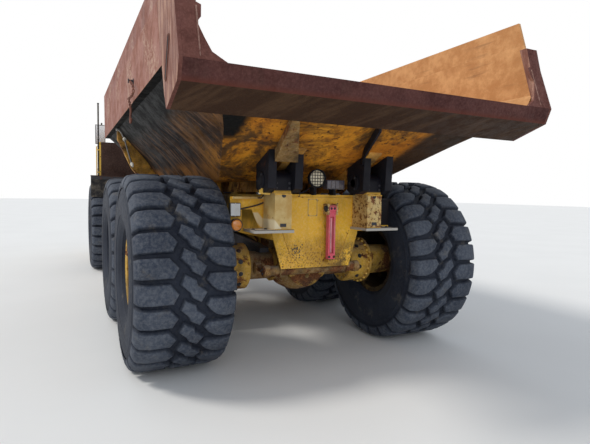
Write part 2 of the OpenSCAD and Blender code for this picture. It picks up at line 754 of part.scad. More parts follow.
module cab_door() {
  color([0.85, 0.62, 0.12]) at_front() difference() {
    box(door_x, [cab_hw - cab_wall, cab_hw], door_z);
    box([-240, 430], [cab_hw - 100, cab_hw + 10], [sill_z, window_top - 70]);
  }
  color([0.85, 0.62, 0.12]) at_front() for (z = hinge_zs) difference() {
    union() {
      cyl_z(door_x[0] - 8, cab_hw + 17, 16, z + 60 + slide_gap, z + 120);
      box([door_x[0] - 8, door_x[0] + 60], [cab_hw, cab_hw + 16], [z + 60 + slide_gap, z + 120]);
    }
    cyl_z(door_x[0] - 8, cab_hw + 17, 8 + fit_gap, z, z + 130);
  }
}
function screen_x(z) = cab_front - 180 * (z - 2500) / (cab_top_z - 2500);
module cab_glass() {
  color([0.5, 0.6, 0.65, 0.5]) at_front() {
    box([-300 + slide_gap, 480 - slide_gap], [-cab_hw + 20, -cab_hw + 28],
      [sill_z + slide_gap, window_top - slide_gap]);
    box([cab_back + 50, cab_back + 58], [-cab_hw + 160 + slide_gap, cab_hw - 160 - slide_gap],
      [sill_z + 150 + slide_gap, window_top - slide_gap]);
    across(-cab_hw + 130 + slide_gap, cab_hw - 130 - slide_gap) polygon([
      [screen_x(sill_z) - 28, sill_z + slide_gap], [screen_x(sill_z) - 20, sill_z + slide_gap],
      [screen_x(window_top) - 20, window_top - slide_gap],
      [screen_x(window_top) - 28, window_top - slide_gap]
    ]);
  }
}
module door_glass() {
  color([0.5, 0.6, 0.65, 0.5]) at_front()
    box([-240 + slide_gap, 430 - slide_gap], [cab_hw - 28, cab_hw - 20],
      [sill_z + slide_gap, window_top - 70 - slide_gap]);
}
module cab_interior() {
  color([0.2, 0.2, 0.2]) at_front() {
    box([-350, 150], [-260, 260], [cab_floor_z + cab_wall, 2350]);
    box([-380, -260], [-250, 250], [2340, 3000]);
    box([450, 700], [-600, 600], [cab_floor_z + cab_wall, 2520]);
  }
}

rear_frame();
mid_axle();
rear_axle();
bogie_beams();
tail_lamps();
work_lamps();
prop_strut();
tyre_at(rear_x, 1);  // tyre_rear_left
tyre_at(rear_x, -1);  // tyre_rear_right
tyre_at(mid_x, 1);  // tyre_mid_left
tyre_at(mid_x, -1);  // tyre_mid_right
tyre_at(front_x, 1);  // tyre_front_left
tyre_at(front_x, -1);  // tyre_front_right
rim_at(rear_x, 1);  // rim_rear_left
rim_at(rear_x, -1);  // rim_rear_right
rim_at(mid_x, 1);  // rim_mid_left
rim_at(mid_x, -1);  // rim_mid_right
rim_at(front_x, 1);  // rim_front_left
rim_at(front_x, -1);  // rim_front_right
body_tub();
body_front_wall();
sideboards();
tail_lip();
rear_posts();
body_underframe();
hoist_barrels();
hoist_rods();
hitch_yoke();
steer_barrel(1);  // steer_barrel_left
steer_barrel(-1);  // steer_barrel_right
steer_rod(1);  // steer_rod_left
steer_rod(-1);  // steer_rod_right
front_frame();
front_axle();
engine();
hood();
grille();
headlamps();
front_fenders();
rear_guard();
exhaust_stack();
mirrors();
cab_shell();
cab_door();
cab_glass();
door_glass();
cab_interior();
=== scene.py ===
"""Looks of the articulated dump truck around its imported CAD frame.

Metres throughout. +X is forward, +Y is the truck's left and +Z is up, as in the CAD part."""
import math
import random

import bmesh
import bpy
from mathutils import Matrix, Vector

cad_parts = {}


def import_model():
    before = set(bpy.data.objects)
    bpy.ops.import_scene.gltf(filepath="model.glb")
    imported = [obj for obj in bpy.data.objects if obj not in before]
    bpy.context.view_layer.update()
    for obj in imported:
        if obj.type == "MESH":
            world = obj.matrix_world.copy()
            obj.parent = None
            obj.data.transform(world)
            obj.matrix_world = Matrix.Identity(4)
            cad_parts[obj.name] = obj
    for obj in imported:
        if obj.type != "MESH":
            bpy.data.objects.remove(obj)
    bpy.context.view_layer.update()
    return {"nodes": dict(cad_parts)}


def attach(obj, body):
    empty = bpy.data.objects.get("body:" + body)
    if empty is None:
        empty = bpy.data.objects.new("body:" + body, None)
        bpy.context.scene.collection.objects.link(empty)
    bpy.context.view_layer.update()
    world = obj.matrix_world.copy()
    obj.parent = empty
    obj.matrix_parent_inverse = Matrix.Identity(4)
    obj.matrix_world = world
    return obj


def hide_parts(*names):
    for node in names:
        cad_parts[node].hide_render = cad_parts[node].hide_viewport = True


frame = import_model()
NODES = frame["nodes"]

# Main places, as in the part's source
REAR_X, MID_X, FRONT_X = -3.855, -1.905, 2.595
AXLES = (("rear", REAR_X, "rear_unit"), ("mid", MID_X, "rear_unit"), ("front", FRONT_X, "front_unit"))
HITCH_X = 1.195
WHEEL_Y = 1.39
TYRE_R = 0.935
AXLE_Z = TYRE_R
DECK_TOP = 2.03
# Places measured from the rear axle: the body's hinge pins, and rear faces of the end plate and the lip
PIN_X, PIN_Z = -0.66, 1.82
PLATE_X = -0.501
LIP_X = -1.8
# The ramp under the body's tail
RAMP_START, RAMP_LOW, RAMP_SLOPE = -0.15, 1.83, 0.383864
# The hoist rams, measured from the rear axle: where they start and how they lean
HOIST_START_X, HOIST_Y, HOIST_Z = 3.25, 0.7, 0.95
HOIST_RUN, HOIST_RISE = 0.9584, 0.2854

# Directions, and the two sides of the truck or ways along a line
AHEAD, BACK, LEFT, UP = (1, 0, 0), (-1, 0, 0), (0, 1, 0), (0, 0, 1)
BOTH = (1, -1)
HANDS = (("left", 1), ("right", -1))
THIRD_TURN, QUARTER_TURN = 2.0944, 1.5708
BEAD_STEP = 0.018


# Camera and light

def make_camera():
    """The camera solved from the photograph's lines: place, yaw, pitch, roll and focal length."""
    photo_w, focal_px, sensor = 590.0, 468.617, 36.0
    place = Vector((-8.52679, 2.29373, 1.70723))
    yaw, pitch, roll = 0.4560887, 0.0607168, 0.0166714
    forward = Vector((math.cos(yaw) * math.cos(pitch), -math.sin(yaw) * math.cos(pitch), -math.sin(pitch)))
    right = forward.cross(Vector(UP)).normalized()
    up = right.cross(forward)
    side = right * math.cos(roll) + up * math.sin(roll)
    top = up * math.cos(roll) - right * math.sin(roll)
    data = bpy.data.cameras.new("camera")
    data.sensor_width = sensor
    data.lens = focal_px / photo_w * sensor
    data.clip_end = 200
    camera = bpy.data.objects.new("camera", data)
    bpy.context.scene.collection.objects.link(camera)
    camera.matrix_world = Matrix.Translation(place) @ Matrix((side, top, -forward)).transposed().to_4x4()
    bpy.context.scene.camera = camera


def make_sun(name, towards, strength, angle, colour):
    """A soft sun lamp that shines from the direction `towards`."""
    data = bpy.data.lights.new(name, "SUN")
    data.energy = strength
    data.angle = math.radians(angle)
    data.color = colour
    lamp = bpy.data.objects.new(name, data)
    bpy.context.scene.collection.objects.link(lamp)
    lamp.rotation_euler = Vector(towards).to_track_quat("Z", "Y").to_euler()


def make_world():
    """Even ambient light, and a white backdrop for camera, mirror and glass rays."""
    world = bpy.data.worlds.new("studio")
    bpy.context.scene.world = world
    world.use_nodes = True
    tree = world.node_tree
    tree.nodes.clear()
    out = tree.nodes.new("ShaderNodeOutputWorld")
    path = tree.nodes.new("ShaderNodeLightPath")
    ambient = tree.nodes.new("ShaderNodeBackground")
    ambient.inputs["Color"].default_value = (0.86, 0.92, 1.0, 1)
    ambient.inputs["Strength"].default_value = 0.62
    white = tree.nodes.new("ShaderNodeBackground")
    white.inputs["Color"].default_value = (1, 1, 1, 1)
    white.inputs["Strength"].default_value = 1.0
    seen = path.outputs["Is Camera Ray"]
    for extra in ("Is Glossy Ray", "Is Transmission Ray"):
        either = tree.nodes.new("ShaderNodeMath")
        either.operation = "MAXIMUM"
        tree.links.new(seen, either.inputs[0])
        tree.links.new(path.outputs[extra], either.inputs[1])
        seen = either.outputs[0]
    blend = tree.nodes.new("ShaderNodeMixShader")
    tree.links.new(seen, blend.inputs[0])
    tree.links.new(ambient.outputs[0], blend.inputs[1])
    tree.links.new(white.outputs[0], blend.inputs[2])
    tree.links.new(blend.outputs[0], out.inputs["Surface"])


# Materials

# Every material by its name
M = {}


class Shader:
    """Builds one procedural material and enters it in M. Its methods return sockets."""

    def __init__(self, name, shift=0.0):
        self.shift = shift
        self.material = M[name] = bpy.data.materials.new(name)
        self.material.use_nodes = True
        self.tree = self.material.node_tree
        self.tree.nodes.clear()
        self.out = self.add("ShaderNodeOutputMaterial")
        self.bsdf = self.add("ShaderNodeBsdfPrincipled")
        self.link(self.bsdf.outputs["BSDF"], self.out.inputs["Surface"])
        self.where = self.add("ShaderNodeTexCoord")
        self.coords = self.where.outputs["Object"]

    def add(self, kind):
        return self.tree.nodes.new(kind)

    def link(self, a, b):
        self.tree.links.new(a, b)

    def put(self, value, socket):
        """A number or colour into a socket, or a link from another socket."""
        if isinstance(value, bpy.types.NodeSocket):
            self.link(value, socket)
        elif isinstance(value, (tuple, list)) and len(value) == 3 and socket.type == "RGBA":
            socket.default_value = (*value, 1)
        else:
            socket.default_value = value

    def noise(self, scale, detail=4, rough=0.55, stretch=(1, 1, 1), shift=0.0, warp=0.0):
        place = self.add("ShaderNodeMapping")
        self.link(self.coords, place.inputs["Vector"])
        place.inputs["Scale"].default_value = stretch
        shift += self.shift
        place.inputs["Location"].default_value = (shift, shift * 0.7, shift * 1.3)
        node = self.add("ShaderNodeTexNoise")
        node.inputs["Scale"].default_value = scale
        node.inputs["Detail"].default_value = detail
        node.inputs["Roughness"].default_value = rough
        node.inputs["Distortion"].default_value = warp
        self.link(place.outputs[0], node.inputs["Vector"])
        return node.outputs["Fac"]

    def streaks(self, direction, scale, length, shift=0.0):
        """Noise drawn out along a direction."""
        place = self.add("ShaderNodeMapping")
        place.vector_type = "TEXTURE"
        self.link(self.coords, place.inputs["Vector"])
        place.inputs["Rotation"].default_value = Vector(direction).to_track_quat("X", "Z").to_euler()
        place.inputs["Scale"].default_value = (length, 1, 1)
        place.inputs["Location"].default_value = [shift + self.shift] * 3
        node = self.add("ShaderNodeTexNoise")
        node.inputs["Scale"].default_value = scale
        node.inputs["Detail"].default_value = 7
        node.inputs["Roughness"].default_value = 0.66
        self.link(place.outputs[0], node.inputs["Vector"])
        return node.outputs["Fac"]

    def cells(self, scale):
        """Distance to the nearest of scattered points."""
        node = self.add("ShaderNodeTexVoronoi")
        node.inputs["Scale"].default_value = scale
        self.link(self.coords, node.inputs["Vector"])
        return node.outputs["Distance"]

    def fade(self, value, low, high, out_low=0.0, out_high=1.0):
        node = self.add("ShaderNodeMapRange")
        node.interpolation_type = "SMOOTHSTEP"
        self.put(value, node.inputs["Value"])
        for key, number in (("From Min", low), ("From Max", high), ("To Min", out_low), ("To Max", out_high)):
            node.inputs[key].default_value = number
        return node.outputs["Result"]

    def cloud(self, scale, detail, rough, low, high, shift=0.0, **more):
        """Noise faded between two of its levels."""
        return self.fade(self.noise(scale, detail, rough, shift=shift, **more), low, high)

    def math(self, kind, a, b=0.0):
        node = self.add("ShaderNodeMath")
        node.operation = kind
        node.use_clamp = kind in ("ADD", "MULTIPLY", "SUBTRACT")
        self.put(a, node.inputs[0])
        self.put(b, node.inputs[1])
        return node.outputs[0]

    def times(self, a, b):
        return self.math("MULTIPLY", a, b)

    def either(self, a, b):
        return self.math("MAXIMUM", a, b)

    def band(self, value, low, high, soft=0.01):
        """One between low and high, nought outside."""
        return self.times(self.fade(value, low - soft, low + soft), self.fade(value, high + soft, high - soft))

    def invert(self, a):
        return self.math("SUBTRACT", 1.0, a)

    def mix(self, factor, a, b):
        node = self.add("ShaderNodeMix")
        node.data_type = "RGBA"
        self.put(factor, node.inputs["Factor"])
        self.put(a, node.inputs["A"])
        self.put(b, node.inputs["B"])
        return node.outputs["Result"]

    def axis(self, which, normal=False):
        node = self.add("ShaderNodeSeparateXYZ")
        self.link(self.where.outputs["Normal"] if normal else self.coords, node.inputs[0])
        return node.outputs[which]

    def along(self, which, low, high):
        """Fades from one place on an axis to another."""
        return self.fade(self.axis(which), low, high)

    def facing(self, which, low, high):
        """Fades with how far the surface faces along an axis."""
        return self.fade(self.axis(which, normal=True), low, high)

    def attribute(self, name):
        node = self.add("ShaderNodeAttribute")
        node.attribute_name = name
        return node.outputs["Fac"]

    def finish(self, colour, rough, height=None, bump=0.3, depth=0.004, metallic=0.0, coat=0.0):
        self.put(colour, self.bsdf.inputs["Base Color"])
        self.put(rough, self.bsdf.inputs["Roughness"])
        self.put(metallic, self.bsdf.inputs["Metallic"])
        # Dull, dusty surfaces reflect little of the pale surroundings
        self.bsdf.inputs["Specular IOR Level"].default_value = 0.5 if coat or metallic else 0.16
        if coat:
            self.bsdf.inputs["Coat Weight"].default_value = coat
        if height is not None:
            node = self.add("ShaderNodeBump")
            node.inputs["Strength"].default_value = bump
            node.inputs["Distance"].default_value = depth
            self.link(height, node.inputs["Height"])
            self.link(node.outputs[0], self.bsdf.inputs["Normal"])


RUST_DARK = (0.06, 0.022, 0.012)
RUST = (0.165, 0.058, 0.022)
RUST_LIGHT = (0.33, 0.13, 0.045)
GRIME = (0.035, 0.027, 0.02)
DUST = (0.36, 0.31, 0.24)


def rust_colour(s, scale, shift=0.0):
    """Brown rust that varies from near black to orange."""
    broad = s.cloud(scale, 8, 0.65, 0.33, 0.68, shift)
    fine = s.cloud(scale * 7, 6, 0.6, 0.38, 0.66, shift + 3)
    return s.mix(s.times(fine, 0.6), s.mix(broad, RUST_DARK, RUST), RUST_LIGHT)


def weathered_paint(name, base, faded, rust=0.5, grime=0.4, rough=0.5, shift=0.0, scale=1.0, regions=None):
    """Old machine paint: fading, chips that show rust, run-off streaks, grime and dust."""
    s = Shader(name, shift)
    fading = s.cloud(1.6 * scale, 5, 0.6, 0.35, 0.68)
    speckle = s.cloud(42 * scale, 6, 0.7, 0.42, 0.7)
    paint = s.mix(fading, base, faded)
    paint = s.mix(s.times(speckle, 0.16), paint, (0.9, 0.8, 0.6))
    patches = s.noise(3.4 * scale, 9, 0.72, shift=5, warp=0.4)
    edge = 0.7 - 0.22 * rust
    rusty = s.fade(patches, edge, edge + 0.05)
    pits = s.cloud(26 * scale, 7, 0.75, 0.69 - 0.12 * rust, 0.73 - 0.1 * rust, 9)
    rusty = s.either(rusty, s.times(pits, 0.9))
    runs = s.noise(3.2 * scale, 6, 0.6, stretch=(2.6, 2.6, 0.22), shift=2)
    stain = s.times(s.fade(runs, 0.5, 0.72), 0.55 * rust)
    colour = s.mix(stain, paint, (0.24, 0.1, 0.035))
    colour = s.mix(rusty, colour, rust_colour(s, 8 * scale))
    dirt = s.times(s.cloud(2.3 * scale, 8, 0.68, 0.5 - 0.1 * grime, 0.66, 13), grime)
    colour = s.mix(dirt, colour, GRIME)
    upward = s.facing("Z", 0.35, 0.9)
    colour = s.mix(s.times(upward, 0.3), colour, DUST)
    if regions:
        colour = regions(s, colour)
    roughness = s.fade(s.either(rusty, dirt), 0.0, 1.0, rough, 0.88)
    height = s.math("ADD", s.times(patches, 0.5), s.times(s.noise(60 * scale, 5, 0.7), 0.35))
    s.finish(colour, roughness, height, 0.35, 0.006)


def make_body_shell(name, outside, outside_light, shift=0.0):
    """The dump body: faded red-brown outside, orange-tan worn inside, yellow paint under dirt below, with painted
    shade on the left sloped plate and painted shadow high on it.
    """
    s = Shader(name, shift)
    big = s.cloud(0.9, 6, 0.62, 0.34, 0.66)
    mid = s.cloud(5.5, 8, 0.7, 0.36, 0.68, 4)
    fine = s.cloud(38, 7, 0.7, 0.36, 0.68, 8)
    outer = s.mix(big, outside, outside_light)
    outer = s.mix(s.times(mid, 0.55), outer, (0.15, 0.052, 0.032))
    runs = s.cloud(4.2, 7, 0.65, 0.5, 0.74, 2, stretch=(2.4, 2.4, 0.18))
    outer = s.mix(s.times(runs, 0.5), outer, (0.085, 0.035, 0.026))
    outer = s.mix(s.times(fine, 0.22), outer, (0.42, 0.22, 0.15))
    pale = s.times(s.cloud(1.6, 6, 0.6, 0.52, 0.64, 12), s.cloud(26, 8, 0.75, 0.47, 0.56, 3))
    outer = s.mix(s.times(pale, 0.6), outer, (0.52, 0.36, 0.27))
    # Inside: bare plate polished and rusted by the load
    inner = s.mix(mid, (0.52, 0.25, 0.095), (0.72, 0.4, 0.18))
    scrape = s.cloud(7, 6, 0.6, 0.55, 0.75, 1, stretch=(0.25, 2.2, 2.2))
    inner = s.mix(s.times(scrape, 0.45), inner, (0.24, 0.12, 0.06))
    # Below: yellow paint, dark dirt and scrapes
    below = s.mix(big, (0.74, 0.32, 0.028), (0.5, 0.17, 0.016))
    mottle = s.cloud(9, 8, 0.75, 0.47, 0.58, 9)
    below = s.mix(s.times(mottle, 0.65), below, (0.26, 0.085, 0.014))
    soot = s.cloud(2.1, 9, 0.72, 0.46, 0.62, 6, warp=0.6)
    below = s.mix(s.times(soot, 0.88), below, (0.04, 0.027, 0.018))
    chips = s.cloud(16, 8, 0.75, 0.56, 0.61, 7)
    below = s.mix(chips, below, (0.06, 0.024, 0.012))
    across = s.axis("Y")
    # The left sloped plate is dark and scraped down its slope, and higher up it is darkened with painted shade; yellow
    # is left near the tail
    sloped = s.facing("Y", 0.25, 0.45)
    ahead = s.along("X", REAR_X - 1.15, REAR_X + 0.25)
    high = s.along("Z", 1.94, 2.16)
    dark_slope_and_shade = s.times(sloped, s.either(ahead, s.times(high, 0.85)))
    scrapes = s.streaks((-0.55, -0.5, -0.66), 15, 9, 3)
    scraped = s.mix(s.fade(scrapes, 0.47, 0.61), (0.008, 0.006, 0.007), (0.15, 0.074, 0.034))
    flakes = s.times(s.fade(scrapes, 0.6, 0.7), s.along("X", REAR_X + 0.1, REAR_X - 0.8))
    scraped = s.mix(flakes, scraped, (0.5, 0.25, 0.05))
    low_band = s.times(s.along("Z", 2.07, 1.95), s.cloud(3, 5, 0.6, 0.38, 0.6, 2))
    scraped = s.mix(s.times(low_band, 0.75), scraped, (0.34, 0.14, 0.03))
    below = s.mix(dark_slope_and_shade, below, scraped)
    # The right sloped plate is dark brown
    right = s.times(s.facing("Y", -0.25, -0.45), s.fade(s.noise(2.2, 7, 0.7, shift=5), 0.3, 0.44, 0.55, 1.0))
    tail_right = s.times(s.fade(across, -0.64, -0.8), s.along("X", REAR_X + 0.1, REAR_X - 0.15))
    right = s.either(right, s.times(tail_right, s.fade(s.noise(3.1, 8, 0.72, shift=5), 0.33, 0.42, 0.45, 0.95)))
    below = s.mix(right, below, (0.03, 0.017, 0.01))
    # Painted shadow in near black: high on the left slope under the wall's lower edge, and on the unsloped faces at
    # the left above z 2.15
    ledge_shadow = s.times(sloped, s.along("Z", 2.34, 2.48))
    corner = s.times(s.fade(across, 0.98, 1.08), s.along("Z", 2.12, 2.17))
    corner = s.either(ledge_shadow, s.times(corner, s.invert(sloped)))
    below = s.mix(corner, below, (0.006, 0.006, 0.006))
    side = s.times(s.fade(s.math("ABSOLUTE", across), 1.6, 1.62), s.along("Z", 2.6, 2.63))
    # Faces on the outside of a wall look away from the middle of the truck
    facing_out = s.times(side, s.fade(s.times(across, s.axis("Y", normal=True)), 0.2, 0.6))
    facing_down = s.facing("Z", -0.1, -0.25)
    colour = s.mix(facing_down, inner, below)
    colour = s.mix(facing_out, colour, outer)
    rough = s.fade(mid, 0.0, 1.0, 0.55, 0.82)
    height = s.math("ADD", s.times(mid, 0.4), s.times(fine, 0.4))
    s.finish(colour, rough, height, 0.3, 0.006)


def make_rust_plate(name, base, light, shift=0.0, scale=1.0, lip=False, lit_outer_faces=False):
    """Rusted steel plate in a given range of browns; the lip and post options add painted light and shade."""
    s = Shader(name, shift)
    big = s.cloud(1.3 * scale, 6, 0.64, 0.34, 0.66)
    mid = s.cloud(7 * scale, 8, 0.7, 0.38, 0.68, 4)
    fine = s.cloud(48 * scale, 6, 0.7, 0.4, 0.7, 8)
    colour = s.mix(big, base, light)
    colour = s.mix(s.times(mid, 0.5), colour, tuple(0.45 * c for c in base))
    streak = s.cloud(5, 6, 0.6, 0.52, 0.75, 2, stretch=(2, 2, 0.3))
    colour = s.mix(s.times(streak, 0.45), colour, (0.055, 0.026, 0.02))
    colour = s.mix(s.times(fine, 0.25), colour, tuple(min(1, 1.9 * c + 0.03) for c in light))
    if lit_outer_faces:
        # The outer faces are painted lighter as sunlit, and scratched
        outward = s.fade(s.math("ABSOLUTE", s.axis("Y", normal=True)), 0.7, 0.9)
        sunlit_scratched = s.mix(s.fade(s.streaks((0.1, 0, 1), 10, 6), 0.45, 0.62), (0.21, 0.095, 0.072), (0.4, 0.23, 0.17))
        colour = s.mix(outward, colour, sunlit_scratched)
    if lip:
        # Dark purple-brown rear face over a redder band; the underside olive with smears and darker with painted
        # shade; the end faces painted lighter as sunlit
        colour = s.mix(s.along("Z", 2.43, 2.37), colour, (0.105, 0.028, 0.018))
        smear = s.fade(s.streaks((0.8, 0.55, -0.2), 9, 6), 0.46, 0.62)
        under = s.facing("Z", -0.3, -0.8)
        colour = s.mix(under, colour, s.mix(smear, (0.046, 0.022, 0.012), (0.078, 0.041, 0.022)))
        end = s.fade(s.math("ABSOLUTE", s.axis("Y", normal=True)), 0.7, 0.9)
        colour = s.mix(end, colour, (0.4, 0.24, 0.14))
    rough = s.fade(mid, 0.0, 1.0, 0.6, 0.85)
    height = s.math("ADD", s.times(mid, 0.5), s.times(fine, 0.5))
    s.finish(colour, rough, height, 0.4, 0.006)


def make_rubber(name):
    """Old tyre rubber: blue-black with painted shade in the grooves, grey on the worn, dusty lug tops, which also
    carry a painted sky-lit highlight.
    """
    s = Shader(name)
    top = s.attribute("lug_top_wear_and_light")
    broad = s.cloud(2.6, 6, 0.6, 0.34, 0.68)
    fine = s.cloud(34, 8, 0.7, 0.36, 0.7, 2)
    # Groove colour blue-black as painted shade; lug-top colour lighter as worn rubber with a painted highlight
    dark = s.mix(broad, (0.009, 0.012, 0.022), (0.017, 0.022, 0.036))
    worn = s.mix(broad, (0.026, 0.034, 0.054), (0.056, 0.068, 0.094))
    colour = s.mix(top, dark, worn)
    colour = s.mix(s.times(s.times(fine, 0.22), s.fade(top, 0.0, 1.0, 0.25, 1.0)), colour, (0.34, 0.35, 0.36))
    mud = s.cloud(5, 7, 0.7, 0.56, 0.72, 8)
    colour = s.mix(s.times(mud, 0.35), colour, (0.2, 0.175, 0.14))
    rough = s.fade(fine, 0.0, 1.0, 0.62, 0.86)
    height = s.math("ADD", s.times(s.noise(90, 5, 0.7), 0.5), s.times(s.noise(14, 6, 0.7), 0.5))
    s.finish(colour, rough, height, 0.4, 0.004)


def make_dark_metal(name, base=(0.03, 0.03, 0.034), rust=0.5, rough=0.5, shift=0.0):
    """Blackened steel with grease and some rust showing."""
    s = Shader(name, shift)
    mid = s.noise(6, 8, 0.7)
    rusty = s.fade(mid, 0.6 - 0.1 * rust, 0.7 - 0.1 * rust)
    colour = s.mix(s.cloud(2, 5, 0.6, 0.35, 0.65, 2), base, tuple(2.0 * c for c in base))
    colour = s.mix(s.times(rusty, rust), colour, rust_colour(s, 10))
    roughness = s.fade(mid, 0.3, 0.7, rough, 0.8)
    s.finish(colour, roughness, s.noise(55, 5, 0.7), 0.3, 0.003)


def make_plastic(name, base):
    """Hard plastic with dust on it."""
    s = Shader(name)
    dusty = s.cloud(9, 7, 0.7, 0.42, 0.72)
    colour = s.mix(s.times(dusty, 0.4), base, DUST)
    s.finish(colour, s.fade(dusty, 0, 1, 0.4, 0.8), s.noise(120, 3, 0.6), 0.15, 0.001)


def make_lens(name, base):
    """A lamp's ribbed lens."""
    s = Shader(name)
    wave = s.add("ShaderNodeTexWave")
    wave.inputs["Scale"].default_value = 40
    s.link(s.coords, wave.inputs["Vector"])
    dusty = s.cloud(14, 6, 0.7, 0.4, 0.75)
    colour = s.mix(s.times(dusty, 0.35), base, DUST)
    s.finish(colour, s.fade(dusty, 0, 1, 0.18, 0.5), wave.outputs["Fac"], 0.25, 0.002, coat=0.4)


def make_chrome(name):
    s = Shader(name)
    spots = s.cloud(22, 7, 0.7, 0.55, 0.66)
    colour = s.mix(s.times(spots, 0.7), (0.55, 0.55, 0.56), (0.2, 0.1, 0.05))
    s.finish(colour, s.fade(spots, 0, 1, 0.22, 0.7), s.noise(80, 4, 0.6), 0.1, 0.001, metallic=0.85)


def make_glass(name):
    s = Shader(name)
    dusty = s.cloud(5, 7, 0.7, 0.4, 0.75)
    clear = s.add("ShaderNodeBsdfTransparent")
    clear.inputs["Color"].default_value = (0.62, 0.7, 0.72, 1)
    s.put(s.mix(s.times(dusty, 0.5), (0.1, 0.13, 0.14), (0.42, 0.4, 0.36)), s.bsdf.inputs["Base Color"])
    s.bsdf.inputs["Roughness"].default_value = 0.08
    blend = s.add("ShaderNodeMixShader")
    s.put(s.fade(dusty, 0, 1, 0.32, 0.75), blend.inputs[0])
    s.link(clear.outputs[0], blend.inputs[1])
    s.link(s.bsdf.outputs[0], blend.inputs[2])
    s.link(blend.outputs[0], s.out.inputs["Surface"])


def make_fabric(name, base):
    """Worn seat vinyl."""
    s = Shader(name)
    mid = s.cloud(4, 7, 0.7, 0.38, 0.7)
    colour = s.mix(mid, base, tuple(2.2 * c for c in base))
    s.finish(colour, 0.75, s.cells(160), 0.3, 0.001)


def rear_frame_regions(s, colour):
    """Cream pitted posts with tops black from grease and painted shade, a painted highlight on the ledge, a painted
    sunlit patch on the wing, rust and dirt low on the end plate.
    """
    x, y, z = s.axis("X"), s.axis("Y"), s.axis("Z")
    behind = s.fade(x, REAR_X - 0.505, REAR_X - 0.515)
    rough_side = s.fade(y, 0.1, -0.1)
    pits = s.noise(24, 8, 0.74, shift=3)
    pitted = s.either(s.fade(pits, 0.62, 0.66), s.times(rough_side, s.fade(pits, 0.5, 0.56)))
    cream = s.mix(s.cloud(7, 5, 0.6, 0.35, 0.65, -1), (0.6, 0.45, 0.2), (0.5, 0.31, 0.1))
    cream = s.mix(pitted, cream, rust_colour(s, 14, 1.0))
    colour = s.mix(s.times(behind, s.band(z, 1.372, 1.71)), colour, cream)
    # Painted shade with grease: the tops above the posts black
    colour = s.mix(s.times(behind, s.fade(z, 1.715, 1.74)), colour, (0.005, 0.005, 0.009))
    # Painted highlight: the ledge's lit edge light grey
    ledge = s.times(s.fade(x, REAR_X - 0.503, REAR_X - 0.508), s.band(z, 1.34, 1.371, 0.002))
    colour = s.mix(ledge, colour, (0.42, 0.4, 0.36))
    at_rear = s.fade(x, REAR_X - 0.47, REAR_X - 0.478)
    slant = s.math("ADD", y, s.times(s.math("SUBTRACT", 1.53, z), 0.85))
    patch = s.times(s.times(at_rear, s.band(z, 1.376, 1.52)), s.band(slant, 0.645, 0.735))
    colour = s.mix(s.times(patch, 0.7), colour, (0.8, 0.72, 0.52))
    lower = s.times(at_rear, s.fade(z, 1.36, 1.02))
    speckle = s.cloud(48, 7, 0.72, 0.52, 0.6, 5)
    colour = s.mix(s.times(lower, speckle), colour, (0.2, 0.085, 0.03))
    corner = s.times(lower, s.fade(y, 0.1, -0.4))
    colour = s.mix(s.times(corner, s.cloud(9, 7, 0.7, 0.36, 0.56, 2)), colour, (0.085, 0.052, 0.026))
    wing = s.times(s.fade(x, REAR_X - 0.445, REAR_X - 0.455), s.fade(y, -0.592, -0.598))
    wing = s.times(wing, s.fade(z, 1.374, 1.378))
    colour = s.mix(wing, colour, (0.01, 0.008, 0.01))
    inside = s.fade(x, REAR_X + 0.1, REAR_X + 0.9)
    return s.mix(s.times(inside, s.fade(s.noise(4, 7, 0.7, shift=7), 0.35, 0.6, 0.3, 0.85)), colour,
            (0.1, 0.065, 0.03))


def rim_regions(s, colour):
    """Grease and shade on the side of the rims that faces the truck."""
    inner = s.fade(s.math("ABSOLUTE", s.axis("Y")), 1.49, 1.46)
    return s.mix(s.times(inner, s.fade(s.noise(5, 7, 0.7, shift=-4), 0.28, 0.5, 0.6, 0.95)), colour,
            (0.016, 0.011, 0.008))


weathered_paint("frame_yellow", (0.82, 0.47, 0.035), (0.74, 0.4, 0.05), 0.45, 0.4, 0.45, 1.0)
weathered_paint("rear_frame_paint", (0.86, 0.49, 0.035), (0.78, 0.43, 0.05), 0.4, 0.3, 0.45, 1.0,
        regions=rear_frame_regions)
weathered_paint("axle_paint", (0.66, 0.38, 0.045), (0.4, 0.23, 0.05), 0.8, 0.75, 0.6, 2.0)
weathered_paint("body_under", (0.74, 0.37, 0.045), (0.55, 0.25, 0.04), 0.75, 0.85, 0.6, 3.0)
weathered_paint("cylinder_paint", (0.5, 0.3, 0.05), (0.34, 0.2, 0.05), 0.8, 0.8, 0.6, 4.0)
weathered_paint("cab_yellow", (0.8, 0.5, 0.055), (0.72, 0.46, 0.1), 0.3, 0.25, 0.42, 6.0)
weathered_paint("rim_paint", (0.62, 0.37, 0.05), (0.42, 0.25, 0.06), 0.85, 0.6, 0.6, 7.0, regions=rim_regions)
weathered_paint("prop_pink", (0.72, 0.085, 0.14), (0.62, 0.16, 0.19), 0.35, 0.2, 0.5, 8.0, 2.0)
weathered_paint("engine_paint", (0.16, 0.15, 0.13), (0.1, 0.09, 0.08), 0.6, 0.8, 0.6, 9.0)
make_body_shell("body_rust", (0.235, 0.088, 0.068), (0.32, 0.135, 0.1))
make_body_shell("board_rust", (0.215, 0.08, 0.065), (0.29, 0.125, 0.1), 20.0)
# The lip's near-black base colour holds painted shade on its rear face
make_rust_plate("lip_rust_shaded", (0.06, 0.019, 0.018), (0.098, 0.034, 0.028), 2.0, lip=True)
# The posts' dark base colour holds painted shade on their rear faces
make_rust_plate("post_rust_lit_and_shaded", (0.105, 0.036, 0.03), (0.155, 0.058, 0.044), 7.0, lit_outer_faces=True)
